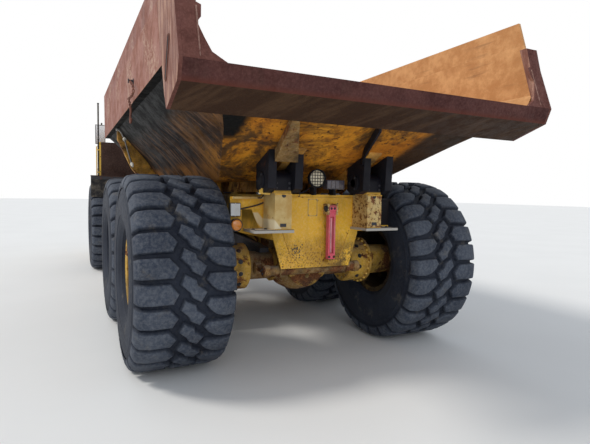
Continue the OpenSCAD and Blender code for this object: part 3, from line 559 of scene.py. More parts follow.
# Very dark brown: the guard's brown plate darkened with painted shade on its rear face
make_rust_plate("guard_brown_shaded", (0.04, 0.022, 0.018), (0.062, 0.034, 0.026), 5.0, 0.7)
make_dark_metal("dark_steel")
make_dark_metal("black_metal", (0.008, 0.008, 0.011), 0.25, 0.5, 3.0)
make_dark_metal("stack_metal", (0.075, 0.06, 0.052), 0.9, 0.6, 5.0)
make_rubber("tyre_rubber")
make_chrome("rod_chrome")
make_glass("window_glass")
make_fabric("cab_trim", (0.04, 0.038, 0.036))
make_plastic("black_plastic", (0.022, 0.022, 0.024))
make_lens("lens_clear", (0.62, 0.64, 0.64))
make_lens("lens_cream", (0.78, 0.7, 0.5))
make_lens("lens_grey", (0.07, 0.06, 0.08))
make_dark_metal("bolt_tan", (0.17, 0.115, 0.045), 0.6, 0.6, 16.0)
weathered_paint("strip_yellow", (0.85, 0.55, 0.08), (0.75, 0.46, 0.08), 0.2, 0.2, 0.5, 18.0)
make_rust_plate("weld_pale", (0.24, 0.13, 0.1), (0.34, 0.2, 0.16), 19.0, 4.0)
weathered_paint("pink_pale_strip", (0.8, 0.38, 0.42), (0.72, 0.42, 0.42), 0.3, 0.3, 0.5, 21.0, 3.0)
make_fabric("mud_clods", (0.12, 0.085, 0.05))
weathered_paint("axle_brown", (0.3, 0.17, 0.05), (0.2, 0.12, 0.05), 0.9, 0.95, 0.7, 22.0)
make_dark_metal("bare_steel", (0.22, 0.21, 0.2), 0.6, 0.55, 12.0)
make_dark_metal("pale_metal", (0.34, 0.32, 0.28), 0.35, 0.5, 13.0)
weathered_paint("weld_yellow", (0.76, 0.43, 0.05), (0.6, 0.33, 0.05), 0.6, 0.4, 0.5, 14.0, 3.0)
make_rust_plate("weld_rust", (0.17, 0.068, 0.05), (0.25, 0.11, 0.075), 15.0, 4.0)
make_chrome("mirror_glass")
make_lens("lens_orange", (0.8, 0.26, 0.02))
make_plastic("lamp_grey", (0.06, 0.055, 0.07))

# Looks of the solids; the tyres and rims have their own
NODE_LOOKS = {
    "rear_frame_paint": "rear_frame",
    "axle_paint": "mid_axle rear_axle front_axle",
    "dark_steel": "bogie_beams",
    "lens_orange": "tail_lamps",
    "lamp_grey": "work_lamps",
    "prop_pink": "prop_strut",
    "body_rust": "body_tub body_front_wall",
    "board_rust": "sideboards",
    "lip_rust_shaded": "tail_lip",
    "post_rust_lit_and_shaded": "rear_posts",
    "body_under": "body_underframe",
    "cylinder_paint": "hoist_barrels steer_barrel_left steer_barrel_right",
    "rod_chrome": "hoist_rods steer_rod_left steer_rod_right",
    "frame_yellow": "hitch_yoke front_frame",
    "engine_paint": "engine",
    "cab_yellow": "hood front_fenders cab_shell cab_door",
    "black_metal": "grille",
    "lens_clear": "headlamps",
    "guard_brown_shaded": "rear_guard",
    "stack_metal": "exhaust_stack",
    "black_plastic": "mirrors",
    "window_glass": "cab_glass door_glass",
    "cab_trim": "cab_interior",
}
LOOK_OF = {name: look for look, names in NODE_LOOKS.items() for name in names.split()}
for node_name, node in NODES.items():
    wheel_look = "tyre_rubber" if node_name.startswith("tyre") else "rim_paint"
    node.data.materials.clear()
    node.data.materials.append(M[LOOK_OF.get(node_name, wheel_look)])


# Mesh helpers

def finish_piece(name, bm, body, slot, looks, smooth=None, bevel=0.0, replaces=()):
    """One piece from a bmesh: its looks, shading and body. Its slot argument is not used."""
    mesh = bpy.data.meshes.new(name)
    bmesh.ops.recalc_face_normals(bm, faces=bm.faces)
    bm.to_mesh(mesh)
    bm.free()
    for look in looks:
        mesh.materials.append(M[look])
    piece = bpy.data.objects.new(name, mesh)
    bpy.context.scene.collection.objects.link(piece)
    if bevel:
        edge = piece.modifiers.new("bevel", "BEVEL")
        edge.width = bevel
        edge.segments = 2
        edge.limit_method = "ANGLE"
        edge.angle_limit = math.radians(40)
    if smooth is not None:
        mesh.shade_smooth()
        mesh.set_sharp_from_angle(angle=math.radians(smooth))
    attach(piece, body)
    if replaces:
        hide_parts(*replaces)


def rides(body, slot, looks, **more):
    """Decorator for a function that fills a bmesh: builds the piece of its name at once."""
    def build(fill):
        bm = bmesh.new()
        fill(bm)
        finish_piece(fill.__name__, bm, body, slot, looks, **more)
        return fill
    return build


def frame_of(axis):
    """The axis as a unit vector, and two unit vectors square to it."""
    axis = Vector(axis).normalized()
    other = Vector(UP) if abs(axis.z) < 0.9 else Vector(AHEAD)
    u = axis.cross(other).normalized()
    return axis, u, axis.cross(u)


def angles(count, phase=0.0):
    """Even angles round a circle."""
    return [phase + 2 * math.pi * i / count for i in range(count)]


def spoke(u, v, angle):
    """A unit vector at an angle in the plane of two others."""
    return u * math.cos(angle) + v * math.sin(angle)


def ring_stack(bm, rings, look=0):
    """Skins a list of equal rings of points and closes both ends."""
    made = [[bm.verts.new(p) for p in ring] for ring in rings]
    count = len(made[0])
    for a, b in zip(made, made[1:]):
        for i in range(count):
            j = (i + 1) % count
            bm.faces.new((a[i], a[j], b[j], b[i])).material_index = look
    bm.faces.new(made[0][::-1]).material_index = look
    bm.faces.new(made[-1]).material_index = look


def turned(bm, start, axis, profile, sides=24, phase=0.0, look=0):
    """A solid turned about an axis: profile is (distance along the axis, radius) pairs."""
    axis, u, v = frame_of(axis)
    start = Vector(start)
    rings = []
    for along, radius in profile:
        centre = start + axis * along
        rings.append([centre + spoke(u, v, a) * radius for a in angles(sides, phase)])
    ring_stack(bm, rings, look)


def box(bm, low, high, look=0):
    """A box from two corners."""
    corners = [Vector((x, y, z)) for z in (low[2], high[2])
            for x, y in ((low[0], low[1]), (high[0], low[1]), (high[0], high[1]), (low[0], high[1]))]
    ring_stack(bm, [corners[:4], corners[4:]], look)


def prism(bm, outline, low, high, across="y", look=0):
    """An outline pushed from low to high: in X and Z across y, or in Y and Z along x."""
    if across == "y":
        rings = [[Vector((a, depth, b)) for a, b in outline] for depth in (low, high)]
    else:
        rings = [[Vector((depth, a, b)) for a, b in outline] for depth in (low, high)]
    ring_stack(bm, rings, look)


def bolt(bm, place, axis, radius=0.016, height=0.014, washer=True, look=0):
    """A hexagon head, with a washer under it."""
    if washer:
        turned(bm, place, axis, [(-0.002, radius * 1.45), (0.004, radius * 1.45)], 16, look=look)
    turned(bm, place, axis, [(0.0, radius), (height * 0.8, radius), (height, radius * 0.82)], 6,
            phase=hash_phase(place), look=look)


def hash_phase(place):
    """A steady turn for a bolt head, from where it is."""
    return (place[0] * 7.1 + place[1] * 3.7 + place[2] * 5.3) % 1.0


def tube(bm, points, radius, sides=10, look=0):
    """A round bar through points, with its ends closed."""
    points = [Vector(p) for p in points]
    rings, u = [], None
    for i, p in enumerate(points):
        ahead = points[min(i + 1, len(points) - 1)] - points[max(i - 1, 0)]
        axis = ahead.normalized()
        if u is None:
            u = frame_of(axis)[1]
        u = (u - axis * u.dot(axis)).normalized()
        v = axis.cross(u)
        rings.append([p + spoke(u, v, a) * radius for a in angles(sides)])
    ring_stack(bm, rings, look)


def rounded(points, radius, steps=4):
    """A path with its corners rounded."""
    points = [Vector(p) for p in points]
    out = [points[0]]
    for a, b, c in zip(points, points[1:], points[2:]):
        r = min(radius, (a - b).length * 0.45, (c - b).length * 0.45)
        p, q = b + (a - b).normalized() * r, b + (c - b).normalized() * r
        for k in range(steps + 1):
            t = k / steps
            out.append(p * (1 - t) ** 2 + b * 2 * t * (1 - t) + q * t * t)
    out.append(points[-1])
    return out


# Tyres

TREAD_HALF = 0.405
PITCHES = 27
PITCH = 2 * math.pi * TYRE_R / PITCHES
LUG = 0.045
# Lug outlines for one pitch: distance from the tread's outer edge, and distance round the tyre.
# Negative values and those over 0.81 run down the shoulders.
OUTER_LUG = [(-0.085, 0.085), (0.0, 0.078), (0.245, 0.078), (0.318, 0.165), (0.275, 0.246), (0.0, 0.252),
        (-0.085, 0.246)]
CENTRE_LUG = [(0.366, 0.004), (0.456, 0.052), (0.469, 0.098), (0.548, 0.158), (0.5, 0.243), (0.424, 0.2),
        (0.404, 0.155), (0.334, 0.088)]
INNER_LUG = [(0.575, 0.0), (0.81, 0.006), (0.895, 0.01), (0.895, 0.172), (0.81, 0.175), (0.715, 0.172), (0.64, 0.15),
        (0.585, 0.108), (0.545, 0.055)]
# Section over the lugs from the tread's middle outwards: distance along it, y, radius
CROWN = [(0.0, 0.0, TYRE_R), (0.295, 0.295, TYRE_R - 0.0005), (0.38, 0.378, TYRE_R - 0.018),
        (0.405, 0.398, TYRE_R - 0.033), (0.45, 0.419, TYRE_R - 0.073), (0.5, 0.43, TYRE_R - 0.125)]
BASE = [(0.0, 0.0, TYRE_R - LUG), (0.295, 0.292, TYRE_R - LUG - 0.002), (0.38, 0.366, TYRE_R - LUG - 0.02),
        (0.405, 0.382, TYRE_R - LUG - 0.036), (0.45, 0.405, TYRE_R - LUG - 0.06), (0.5, 0.425, TYRE_R - LUG - 0.09)]


def along_section(table, w):
    """y and radius at a distance from the middle of the tread, on either side."""
    sign, w = (1, w) if w >= 0 else (-1, -w)
    for (a, ya, ra), (b, yb, rb) in zip(table, table[1:]):
        if w <= b:
            t = (w - a) / (b - a)
            return sign * (ya + (yb - ya) * t), ra + (rb - ra) * t
    return sign * table[-1][1], table[-1][2]


def grow(outline, distance):
    """Moves each side of an anticlockwise outline outwards."""
    out = []
    for i, p in enumerate(outline):
        a, b = Vector(outline[i - 1]), Vector(outline[(i + 1) % len(outline)])
        p = Vector(p)
        n1 = Vector(((p - a).y, -(p - a).x)).normalized()
        n2 = Vector(((b - p).y, -(b - p).x)).normalized()
        out.append(p + (n1 + n2) * distance / max(0.5, 1 + n1.dot(n2)))
    return out


def make_tyre(place_name, x, side, seed):
    """One tyre: carcass and tread lugs. Positive y of the section is the truck's outside."""
    rng = random.Random(seed)
    bm = bmesh.new()
    lug_top_wear_and_light = bm.verts.layers.float.new("lug_top_wear_and_light")

    def world(y, r, angle):
        return Vector((x + r * math.cos(angle), side * WHEEL_Y + side * y, AXLE_Z + r * math.sin(angle)))

    # Lugs, built flat with x across, y round the tyre and z the depth, then bent round it
    for k in range(PITCHES):
        for outline in (OUTER_LUG, CENTRE_LUG, INNER_LUG):
            flat = bmesh.new()
            jitter = [(px + rng.uniform(-0.002, 0.002), py + rng.uniform(-0.002, 0.002)) for px, py in outline]
            drop = rng.uniform(0.0, 0.0025)
            rings = [(grow(jitter, 0.012), 1.15), (grow(jitter, 0.0), 0.22), (grow(jitter, -0.004), 0.08),
                    (grow(jitter, -0.011), 0.0)]
            made = [[flat.verts.new((p[0], p[1], depth)) for p in ring] for ring, depth in rings]
            count = len(outline)
            for a, b in zip(made, made[1:]):
                for i in range(count):
                    flat.faces.new((a[i], a[(i + 1) % count], b[(i + 1) % count], b[i]))
            flat.faces.new(made[-1])
            for cut in (0.06, 0.11, 0.16, 0.21):
                bmesh.ops.bisect_plane(flat, geom=flat.verts[:] + flat.edges[:] + flat.faces[:],
                        plane_co=(0, cut, 0), plane_no=(0, 1, 0))
            for cut in (-0.045, 0.0, 0.025, 0.11, 0.7, 0.785, 0.81, 0.855):
                bmesh.ops.bisect_plane(flat, geom=flat.verts[:] + flat.edges[:] + flat.faces[:],
                        plane_co=(cut, 0, 0), plane_no=(1, 0, 0))
            index = {}
            for v in flat.verts:
                w = TREAD_HALF - v.co.x
                ty, tr = along_section(CROWN, w)
                by, br = along_section(BASE, w)
                depth = v.co.z
                r = tr + (br - tr) * depth - drop * (1 - depth)
                y = ty + (by - ty) * depth
                angle = (k * PITCH + v.co.y) / TYRE_R
                new = bm.verts.new(world(y, r, angle))
                # High on worn lug tops, also for a painted highlight; low in the grooves for painted shade
                new[lug_top_wear_and_light] = max(0.0, 1.0 - depth * 2.2)
                index[v] = new
            for f in flat.faces:
                bm.faces.new([index[v] for v in f.verts])
            flat.free()
    # Carcass: half section from the tread's middle to the bead, mirrored; the last points close it inside
    half = [(0.0, TYRE_R - LUG), (0.15, TYRE_R - LUG - 0.001), (0.292, TYRE_R - LUG - 0.002),
            (0.366, TYRE_R - LUG - 0.02), (0.395, 0.835), (0.416, 0.8), (0.426, 0.765), (0.427, 0.752),
            (0.4305, 0.748), (0.431, 0.736), (0.429, 0.732), (0.4335, 0.69), (0.4355, 0.65), (0.436, 0.612),
            (0.4345, 0.57), (0.433, 0.56), (0.4345, 0.556), (0.4335, 0.545), (0.429, 0.541), (0.4235, 0.505),
            (0.408, 0.462), (0.39, 0.435), (0.389, 0.428), (0.377, 0.421), (0.356, 0.405), (0.342, 0.392),
            (0.3315, 0.374), (0.32, 0.3705)]
    section = half + [(-y, r) for y, r in reversed(half[1:])]
    segments = 108
    rings = []
    for angle in angles(segments):
        ring = []
        for y, r in section:
            vert = bm.verts.new(world(y, r, angle))
            vert[lug_top_wear_and_light] = 0.12 if r < 0.8 else 0.0
            ring.append(vert)
        rings.append(ring)
    for s in range(segments):
        a, b = rings[s], rings[(s + 1) % segments]
        for i in range(len(section)):
            j = (i + 1) % len(section)
            bm.faces.new((a[i], a[j], b[j], b[i]))
    finish_piece(f"treaded_tyre_{place_name}", bm, f"wheel_{place_name}", "tyre_rubber", ["tyre_rubber"], smooth=32,
            replaces=[f"tyre_{place_name}"])


FIRST_SEED = 100
WHEELS = [(f"{row}_{hand}", x, side) for row, x, _ in AXLES for hand, side in HANDS]
for number, wheel in enumerate(WHEELS):
    make_tyre(*wheel, FIRST_SEED + number)


# Shared places and small forms

def rear(x, y, z):
    """A point measured from the rear axle's middle."""
    return Vector((x + REAR_X, y, z))


def front(x, y, z):
    """A point measured from the front axle's middle."""
    return Vector((x + FRONT_X, y, z))


def unit_box(bm, place, low, high, look=0):
    """A box between two points in the rear or front unit's own measures."""
    box(bm, place(*low), place(*high), look)


def mirrored(side, a, b):
    """Two distances on one side of the middle, the lower value first."""
    return sorted((side * a, side * b))


def side_box(bm, place, side, low, high, look=0):
    """A box like unit_box, with its y on one side of the truck."""
    y0, y1 = mirrored(side, low[1], high[1])
    unit_box(bm, place, (low[0], y0, low[2]), (high[0], y1, high[2]), look)


def bezel(bm, place, x, y, z, bars, look=0):
    """Four bars round a rectangle in Y and Z. x, y and z are (low, high), bars the side and the level bars' widths."""
    wide, tall = bars
    inner = (z[0] + tall, z[1] - tall)
    for (y0, y1), (z0, z1) in ((y, (z[0], inner[0])), (y, (inner[1], z[1])), ((y[0], y[0] + wide), inner),
            ((y[1] - wide, y[1]), inner)):
        unit_box(bm, place, (x[0], y0, z0), (x[1], y1, z1), look)


def seal(bm, corners, radius, look=0):
    """Round bars from corner to corner of a closed outline."""
    for a, b in zip(corners, corners[1:] + corners[:1]):
        tube(bm, [a, b], radius, 8, look)


def cap(length, radius, edge, drop):
    """Profile of a turned disc whose far end is bevelled by edge along it and by drop across it."""
    return [(0, radius), (length - edge, radius), (length, radius - drop)]


def shaft(length, radius, edge, drop):
    """Profile of a turned bar whose ends are bevelled by edge along it and by drop across it."""
    return [(0, radius - drop), (edge, radius), (length - edge, radius), (length, radius - drop)]


def sheared(bm, plan, low, high, shift_x, look=0):
    """A plan in X and Y pushed up between two heights that depend on X."""
    ring_stack(bm, [[Vector((x + shift_x, y, level(x))) for x, y in plan] for level in (low, high)], look=look)


def ring(bm, centre, axis, radius, thick, sides=40, around=8):
    """A round bar bent into a closed ring."""
    axis, u, v = frame_of(axis)
    centre = Vector(centre)
    rings = []
    for a in angles(sides):
        out = spoke(u, v, a)
        rings.append([bm.verts.new(centre + out * (radius + thick * math.cos(b)) + axis * thick * math.sin(b))
                for b in angles(around)])
    for i in range(sides):
        a, b = rings[i], rings[(i + 1) % sides]
        for k in range(around):
            m = (k + 1) % around
            bm.faces.new((a[k], a[m], b[m], b[k]))


def collar(bm, start, axis, inner, profile, sides=32, look=0):
    """A turned ring with a hole: profile is (distance along the axis, outer radius) pairs."""
    axis, u, v = frame_of(axis)
    start = Vector(start)
    section = list(profile) + [(profile[-1][0], inner), (profile[0][0], inner)]
    made = [[bm.verts.new(start + axis * along + spoke(u, v, a) * radius) for a in angles(sides)]
            for along, radius in section]
    for k in range(len(made)):
        a, b = made[k], made[(k + 1) % len(made)]
        for i in range(sides):
            j = (i + 1) % sides
            bm.faces.new((a[i], a[j], b[j], b[i])).material_index = look


def loop(bm, points, radius, sides=8):
    """A round bar along a closed path."""
    points = [Vector(p) for p in points]
    tube(bm, points + [points[0] + (points[1] - points[0]) * 0.02], radius, sides)


def bolt_circle(bm, centre, axis, radius, count, size, height=0.012, washer=True, phase=0.0, look=0):
    """Bolt heads evenly round a circle."""
    axis, u, v = frame_of(axis)
    for a in angles(count, phase):
        place = Vector(centre) + spoke(u, v, a) * radius
        bolt(bm, place, axis, size, height, washer, look)


def weld(bm, start, end, size=0.006, rng=None, look=0):
    """A run of overlapping weld beads."""
    start, end = Vector(start), Vector(end)
    count = max(2, int((end - start).length / BEAD_STEP))
    axis = (end - start).normalized()
    points = []
    for i in range(count + 1):
        points.append((i / count * (end - start).length,
                size * (1.0 + 0.25 * math.sin(i * 2.1) + (rng.uniform(-0.12, 0.12) if rng else 0))))
    turned(bm, start, axis, points, 6, look=look)


def ramp_z(x):
    """Height of the ramp's underside, measured from the rear axle."""
    return RAMP_LOW + (RAMP_START - x) * RAMP_SLOPE


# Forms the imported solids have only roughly, at the photograph's places

def make_axle(node, x, body):
    """Turned banjo housing with its nose, dished cover, drums and hubs, bolts and breather."""
    bm = bmesh.new()
    z = AXLE_Z
    turned(bm, (x, -0.64, z), LEFT, [(0, 0.15), (0.35, 0.15), (0.375, 0.172), (0.44, 0.225), (0.545, 0.278),
            (0.64, 0.29), (0.735, 0.278), (0.84, 0.225), (0.905, 0.172), (0.93, 0.15), (1.28, 0.15)], 56, look=4)
    turned(bm, (x, 0, z), AHEAD, [(0.0, 0.225), (0.29, 0.165), (0.3, 0.19), (0.325, 0.19), (0.335, 0.14),
            (0.419, 0.12)], 40)
    turned(bm, (x, 0, z), BACK, [(0, 0.205), (0.262, 0.205), (0.27, 0.214), (0.284, 0.214), (0.29, 0.19),
            (0.302, 0.15), (0.308, 0.06)], 48)
    bolt_circle(bm, (x - 0.282, 0, z), BACK, 0.2, 16, 0.01, 0.01)
    turned(bm, (x - 0.3, 0.0, z - 0.1), BACK, [(0, 0.022), (0.008, 0.022), (0.0085, 0.014), (0.018, 0.014)], 8,
            look=1)
    for side in BOTH:
        turned(bm, (x, side * 0.6, z), (0, side, 0),
                [(0, 0.225), (0.012, 0.24), (0.218, 0.24), (0.23, 0.24), (0.2302, 0.265), (0.258, 0.265),
                (0.2585, 0.235), (0.262, 0.175), (0.795, 0.17)], 56)
        bolt_circle(bm, (x, side * 0.831, z), (0, -side, 0), 0.2515, 22, 0.013, 0.02, washer=False, look=2)
        for k in range(12):
            a = k * math.pi / 6 + 0.2
            bolt(bm, Vector((x, side * 0.715, z)) + Vector((math.cos(a), 0, math.sin(a))) * 0.238,
                    (math.cos(a), 0, math.sin(a)), 0.017, 0.016, look=3)
        collar(bm, (x, side * 0.28, z), (0, side, 0), 0.148, shaft(0.036, 0.178, 0.006, 0.01), 40)
        bolt_circle(bm, (x, side * 0.602, z), (0, -side, 0), 0.2, 14, 0.011, 0.012, look=1)
        # Brake chambers beside the housing, clear of the beams
        turned(bm, (x + 0.175, side * 0.505, z + 0.05), (0, side, 0),
                [(0, 0.05), (0.01, 0.062), (0.04, 0.066), (0.046, 0.071), (0.054, 0.071), (0.06, 0.064),
                (0.095, 0.058)], 24, look=1)
    finish_piece(f"{node}_housing", bm, body, "axle_paint",
            ["axle_paint", "bolt_tan", "strip_yellow", "dark_steel", "axle_brown"], smooth=32, replaces=[node])


for row, row_x, axle_body in AXLES:
    make_axle(f"{row}_axle", row_x, axle_body)


@rides("rear_unit", "black_plastic", ["black_metal", "lens_cream", "lamp_grey", "lens_grey"], smooth=35,
        replaces=["work_lamps"])
def rear_work_lamps(bm):
    """Round lamp behind a wire guard, and the box lamp beside it, over the end plate."""
    y, z = 0.06, 1.859
    turned(bm, rear(-0.52, y, z), BACK, [(0, 0.05), (0.02, 0.078), (0.055, 0.092), (0.084, 0.093), (0.088, 0.089),
            (0.088, 0.081), (0.078, 0.079)], 40)
    turned(bm, rear(-0.599, y, z), BACK, [(0, 0.079), (0.004, 0.07), (0.007, 0.045), (0.008, 0.015)], 32, look=1)
    for offset in (-0.06, -0.03, 0.0, 0.03, 0.06):
        half = math.sqrt(0.09 ** 2 - offset ** 2)
        tube(bm, [rear(-0.614, y + offset, z - half), rear(-0.614, y + offset, z + half)], 0.003, 6)
        tube(bm, [rear(-0.609, y - half, z + offset), rear(-0.609, y + half, z + offset)], 0.003, 6)
    ring(bm, rear(-0.61, y, z), AHEAD, 0.09, 0.0045, 40, 8)
    unit_box(bm, rear, (-0.56, y - 0.016, 1.695), (-0.48, y + 0.016, 1.775))
    bolt(bm, rear(-0.56, y, 1.72), BACK, 0.01)
    # Box lamp
    unit_box(bm, rear, (-0.598, -0.253, 1.756), (-0.52, -0.051, 1.847), 2)
    bezel(bm, rear, (-0.604, -0.596), (-0.253, -0.051), (1.756, 1.847), (0.008, 0.008), 2)
    unit_box(bm, rear, (-0.6, -0.244, 1.765), (-0.597, -0.06, 1.838), 3)
    for dy in (-0.2, -0.152, -0.104):
        unit_box(bm, rear, (-0.6035, dy - 0.002, 1.765), (-0.5995, dy + 0.002, 1.838), 2)
    unit_box(bm, rear, (-0.58, -0.168, 1.695), (-0.48, -0.142, 1.757))
    tube(bm, rounded([rear(-0.53, 0.06, 1.8), rear(-0.5, 0.12, 1.74), rear(-0.49, 0.2, 1.705),
            rear(-0.44, 0.24, 1.695)], 0.03), 0.006, 8)


@rides("rear_unit", "lamp_plastic", ["black_plastic", "lens_orange", "lens_clear", "pale_metal"], smooth=35,
        replaces=["tail_lamps"])
def tail_lamp_pair(bm):
    """Clear box lamp over a round amber one on the left wing; the photograph shows none on the right."""
    y, z, low, high = 0.868, 1.405, 0.825, 0.93
    turned(bm, rear(-0.48, y, z), BACK, [(0, 0.056), (0.03, 0.062), (0.052, 0.062), (0.056, 0.058), (0.054, 0.052)],
            32)
    turned(bm, rear(-0.5335, y, z), BACK, [(0, 0.052), (0.01, 0.048), (0.017, 0.034), (0.02, 0.012)], 32, look=1)
    unit_box(bm, rear, (-0.524, low, 1.485), (-0.48, high, 1.612))
    unit_box(bm, rear, (-0.53, low + 0.007, 1.492), (-0.523, high - 0.007, 1.605), 2)
    for k in range(1, 7):
        unit_box(bm, rear, (-0.532, low + 0.009, 1.492 + k * 0.0162), (-0.5285, high - 0.009, 1.4945 + k * 0.0162), 2)
    for z in (1.489, 1.608):
        bolt(bm, rear(-0.524, (low + high) / 2, z), BACK, 0.004, 0.008, False, 3)


@rides("dump_body", "body_under", ["body_under", "black_metal", "dark_steel", "axle_brown"], smooth=30, bevel=0.004,
        replaces=["body_underframe"])
def underframe_plates(bm):
    """Beams under the floor, bolsters, hinge ears, hoist clevises and the flats under the ramp."""
    for side in BOTH:
        low, high = mirrored(side, 0.34, 0.49)
        beam = [(-0.2, 1.715), (3.3, 1.715), (3.4, 1.83), (-0.15, 1.83), (-0.9, ramp_z(-0.9)),
                (-0.9, ramp_z(-0.9) - 0.02)]
        prism(bm, [(x + REAR_X, z) for x, z in beam], low, high)
        outline = [(0.86, 1.76), (1.14, 1.76), (1.38, 2.05), (1.58, 2.48), (1.58, 2.619), (1.573, 2.617),
                (1.18, 2.198), (0.92, 1.829), (0.86, 1.829)]
        prism(bm, [(side * y, z) for y, z in outline], REAR_X + 2.88, REAR_X + 2.97, "x")
        # Hinge ears in black metal: grease, darkened further with painted shade
        for a, b in ((0.332, 0.412), (0.598, 0.678)):
            low, high = mirrored(side, a, b)
            ear = [(-0.53, 1.75), (-0.53, ramp_z(-0.53)), (-0.84, ramp_z(-0.84)), (-0.82, 1.75), (-0.72, 1.71),
                    (-0.6, 1.71)]
            prism(bm, [(x + REAR_X, z) for x, z in ear], low, high, look=1)
        for a, b in ((0.595, 0.64), (0.76, 0.805)):
            low, high = mirrored(side, a, b)
            prism(bm, [(x + REAR_X, z) for x, z in ((0.92, 1.54), (1.08, 1.54), (1.16, 1.83), (0.84, 1.83))], low,
                    high)
            turned(bm, rear(1.0, side * (b if b > 0.7 else a), 1.62), (0, side if b > 0.7 else -side, 0),
                    cap(0.013, 0.06, 0.003, 0.01), 24, look=2)
        # Hinge pins with keeper plates
        turned(bm, rear(PIN_X, side * 0.318, PIN_Z), (0, side, 0), shaft(0.374, 0.045, 0.004, 0.005), 32, look=2)
        for place, way in ((0.678, side), (0.332, -side)):
            turned(bm, rear(PIN_X, side * place, PIN_Z), (0, way, 0), cap(0.014, 0.085, 0.002, 0.007), 28, look=1)
            bolt_circle(bm, rear(PIN_X, side * (place + (0.012 if place > 0.5 else -0.012)), PIN_Z), (0, way, 0),
                    0.064, 3, 0.009, 0.01, look=2)
    # Box stiffener on the left and blade on the right, under the ramp
    sheared(bm, [(-0.845, 0.395), (-1.425, 0.672), (-1.425, 0.735), (-0.845, 0.626)],
            lambda x: ramp_z(x) - 0.11 + 0.06 * (-0.845 - x) / 0.58, ramp_z, REAR_X, 3)
    for plan in ([(-0.54, -0.486), (-0.97, -0.254), (-0.97, -0.23), (-0.54, -0.462)],
            [(-0.97, -0.254), (-1.425, -0.095), (-1.425, -0.071), (-0.97, -0.23)]):
        sheared(bm, plan, lambda x: ramp_z(x) - 0.085, ramp_z, REAR_X, 1)


@rides("dump_body", "body_rust", ["post_rust_lit_and_shaded", "weld_pale"], smooth=30, bevel=0.004)
def post_boxes(bm):
    """Box section behind each wall's end with the gusset that flares onto the lip, and their welds."""
    rng = random.Random(5)
    section = [(-1.818, 2.512), (-1.77, 2.479), (-1.703, 2.623), (-1.563, 3.08), (-1.64, 3.08), (-1.69, 2.88)]
    for side in BOTH:
        low, high = mirrored(side, 1.545, 1.655)
        prism(bm, [(x + REAR_X, z) for x, z in section], low, high)
        for plate in ([(1.375, 2.511), (1.548, 2.511), (1.548, 2.76), (1.512, 2.665), (1.47, 2.572)],
                [(1.548, 2.9), (1.512, 2.885), (1.52, 2.8), (1.548, 2.76)]):
            ring_stack(bm, [[rear(-1.818 + (z - 2.512) * 0.348 + depth, side * y, z) for y, z in plate]
                    for depth in (0.0, 0.028)])
        weld(bm, rear(-1.809, side * 1.38, 2.512), rear(-1.809, side * 1.655, 2.512), 0.007, rng=rng, look=1)
        weld(bm, rear(-1.807, side * 1.547, 2.53), rear(-1.696, side * 1.547, 2.87), 0.006, rng=rng, look=1)


@rides("front_unit", "cab_yellow", ["cab_yellow", "black_metal"], smooth=30, bevel=0.003, replaces=["front_fenders"])
def fenders_and_ladders(bm):
    """Decks, the arch ahead of each front wheel, splash plates, guard flanges and ladders."""
    for side in BOTH:
        side_box(bm, front, side, (-0.565, 0.86, 2.0), (1.05, 1.65, DECK_TOP))
        arc = [math.radians(79 - 65.5 * k / 16) for k in range(17)]
        outline = [(FRONT_X + 1.09 * math.cos(a), AXLE_Z + 1.09 * math.sin(a)) for a in arc]
        outline += [(FRONT_X + 1.065 * math.cos(a), AXLE_Z + 1.065 * math.sin(a)) for a in reversed(arc)]
        low, high = mirrored(side, 0.93, 1.65)
        prism(bm, outline, low, high)
        low, high = mirrored(side, 0.925, 0.94)
        splash = [(-0.565, 2.02), (-0.565, 1.635), (0, 1.485), (1.085, 1.185), (1.085, 2.02)]
        prism(bm, [(x + FRONT_X, z) for x, z in splash], low, high)
        side_box(bm, front, side, (-0.59, 1.62, 1.75), (-0.5, 1.65, 2.7))
        side_box(bm, front, side, (1.05, 0.66, 2.0), (1.5, 1.55, DECK_TOP))
        side_box(bm, front, side, (1.47, 0.84, 0.9), (1.5, 1.55, DECK_TOP))
        for z in (0.6, 0.9, 1.25, 1.62):
            side_box(bm, front, side, (1.5, 0.95, z), (1.7, 1.55, z + 0.03), 1)
            for k in range(9):
                side_box(bm, front, side, (1.515 + 0.021 * k, 0.97, z + 0.03), (1.521 + 0.021 * k, 1.53, z + 0.036),
                        1)
        for y in (0.92, 1.55):
            side_box(bm, front, side, (1.48, y, 0.6), (1.7, y + 0.03, 1.93), 1)
        side_box(bm, front, side, (1.0, 0.42, 1.38), (1.48, 0.9, 1.42))
        # Grip strips on the deck, clear of the cab and the exhaust
        for k in range(7):
            side_box(bm, front, side, (0.62, 0.93 + 0.1 * k, DECK_TOP), (1.02, 0.945 + 0.1 * k, 2.036), 1)
        for x in (-0.5, 0.0, 0.5, 1.0):
            bolt(bm, front(x, side * 1.62, DECK_TOP), UP, 0.011, 0.01, look=1)
        for z in (1.8, 2.1, 2.4, 2.66):
            bolt(bm, front(-0.59, side * 1.635, z), BACK, 0.01, 0.008, False, 1)


